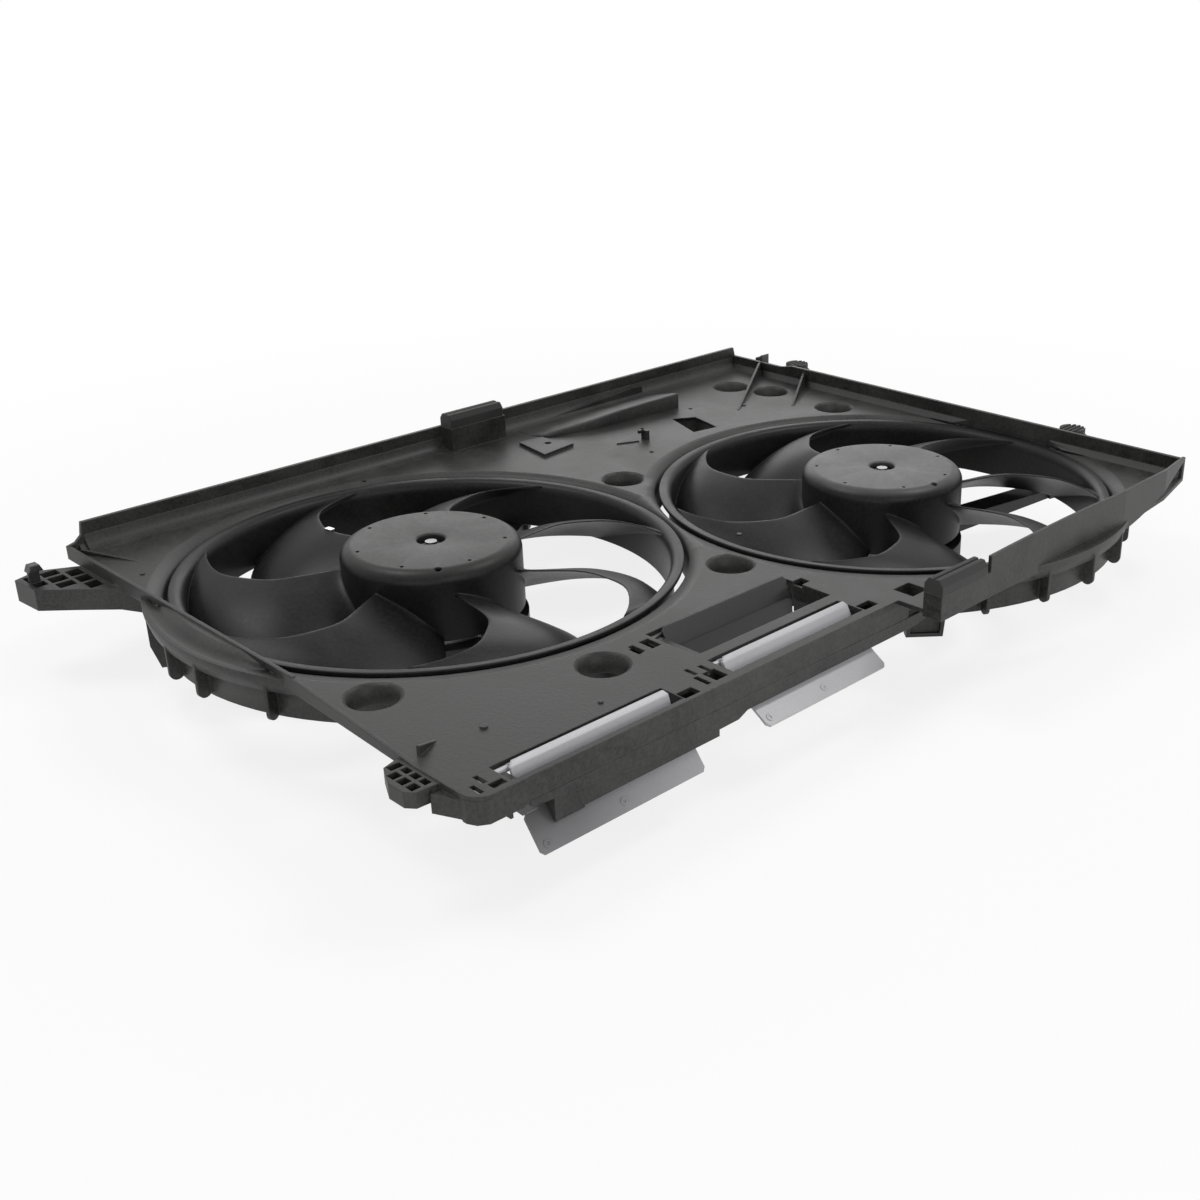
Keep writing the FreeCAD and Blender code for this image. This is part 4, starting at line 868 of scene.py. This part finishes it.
sweep = bpy.data.meshes.new("floor_sweep")
sweep.from_pydata([(-SWEEP_HALF, -SWEEP_HALF, 0), (SWEEP_HALF, -SWEEP_HALF, 0), (SWEEP_HALF, SWEEP_HALF, 0),
                   (-SWEEP_HALF, SWEEP_HALF, 0)], [], [(0, 1, 2, 3)])
floor = bpy.data.objects.new("floor_sweep", sweep)
bpy.context.scene.collection.objects.link(floor)
floor.location.z = cad_box[0][2] - 0.2 * MM
floor_white = bpy.data.materials.new("floor_white")
floor_white.use_nodes = True
tree = floor_white.node_tree
matt = tree.nodes["Principled BSDF"]
matt.inputs["Base Color"].default_value = (0.86, 0.86, 0.86, 1)
matt.inputs["Roughness"].default_value = 0.9
glow = tree.nodes.new("ShaderNodeEmission")
glow.inputs["Color"].default_value = (1, 1, 1, 1)
mixed = tree.nodes.new("ShaderNodeMixShader")
# The shadow shows under the part and fades out from it
place = tree.nodes.new("ShaderNodeTexCoord")
away = tree.nodes.new("ShaderNodeVectorMath")
away.operation = "DISTANCE"
away.inputs[1].default_value = (*PART_MIDDLE[:2], 0.0)
wire(tree, place.outputs["Object"], away.inputs[0])
clear = tree.nodes.new("ShaderNodeMapRange")
clear.inputs["From Min"].default_value = 0.45
clear.inputs["From Max"].default_value = 0.95
clear.inputs["To Min"].default_value = 0.82
clear.inputs["To Max"].default_value = 1.0
wire(tree, away.outputs["Value"], clear.inputs["Value"])
white_share = tree.nodes.new("ShaderNodeMath")
white_share.operation = "MULTIPLY"
wire(tree, backdrop_rays(tree), white_share.inputs[0])
wire(tree, clear.outputs["Result"], white_share.inputs[1])
wire(tree, white_share.outputs[0], mixed.inputs["Fac"])
wire(tree, matt.outputs[0], mixed.inputs[1])
wire(tree, glow.outputs[0], mixed.inputs[2])
wire(tree, mixed.outputs[0], tree.nodes["Material Output"].inputs["Surface"])
sweep.materials.append(floor_white)

world = bpy.data.worlds.new("studio")
world.use_nodes = True
bpy.context.scene.world = world
tree = world.node_tree
room = tree.nodes["Background"]
room.inputs["Color"].default_value = (1, 1, 1, 1)
room.inputs["Strength"].default_value = 0.4
white = tree.nodes.new("ShaderNodeBackground")
white.inputs["Color"].default_value = (1, 1, 1, 1)
white.inputs["Strength"].default_value = 1.0
mixed = tree.nodes.new("ShaderNodeMixShader")
wire(tree, backdrop_rays(tree), mixed.inputs["Fac"])
wire(tree, room.outputs[0], mixed.inputs[1])
wire(tree, white.outputs[0], mixed.inputs[2])
wire(tree, mixed.outputs[0], tree.nodes["World Output"].inputs["Surface"])


def soft_light(name, at, towards, size, power):
    lamp = bpy.data.lights.new(name, "AREA")
    lamp.shape = "RECTANGLE"
    lamp.size, lamp.size_y = size
    lamp.energy = power
    holder = bpy.data.objects.new(name, lamp)
    bpy.context.scene.collection.objects.link(holder)
    holder.location = at
    holder.visible_camera = False
    holder.rotation_euler = (Vector(towards) - Vector(at)).to_track_quat("-Z", "Y").to_euler()


soft_light("softbox_left", (-0.35, 0.45, 1.35), PART_MIDDLE, (0.5, 0.5), 7.0)
soft_light("softbox_right", (0.85, -0.5, 1.3), PART_MIDDLE, (0.5, 0.5), 7.0)
soft_light("back_window", (1.5, 1.5, 0.8), PART_MIDDLE, (1.6, 0.6), 6.0)
soft_light("front_fill", (-0.3, -1.7, 0.7), PART_MIDDLE, (1.0, 0.6), 5.0)
soft_light("low_strip_left", (-1.2, -0.8, 0.045), (0.0, -0.05, 0.03), (1.2, 0.07), 5.0)
soft_light("low_strip_right", (0.9, -1.5, 0.045), (0.3, -0.1, 0.03), (1.2, 0.07), 6.0)

lens = bpy.data.cameras.new("camera")
lens.lens = 44.742
lens.sensor_width = 36.0
lens.shift_x = -0.09675
lens.clip_start = 0.01
camera = bpy.data.objects.new("camera", lens)
bpy.context.scene.collection.objects.link(camera)
camera.matrix_world = Matrix((
    (0.69678, 0.295025, -0.653803, -0.535694),
    (-0.71725, 0.277701, -0.639087, -0.792363),
    (-0.006985, 0.914244, 0.405104, 0.455369),
    (0.0, 0.0, 0.0, 1.0),
))
bpy.context.scene.camera = camera
bpy.context.scene.view_settings.view_transform = "Standard"

bpy.context.view_layer.update()
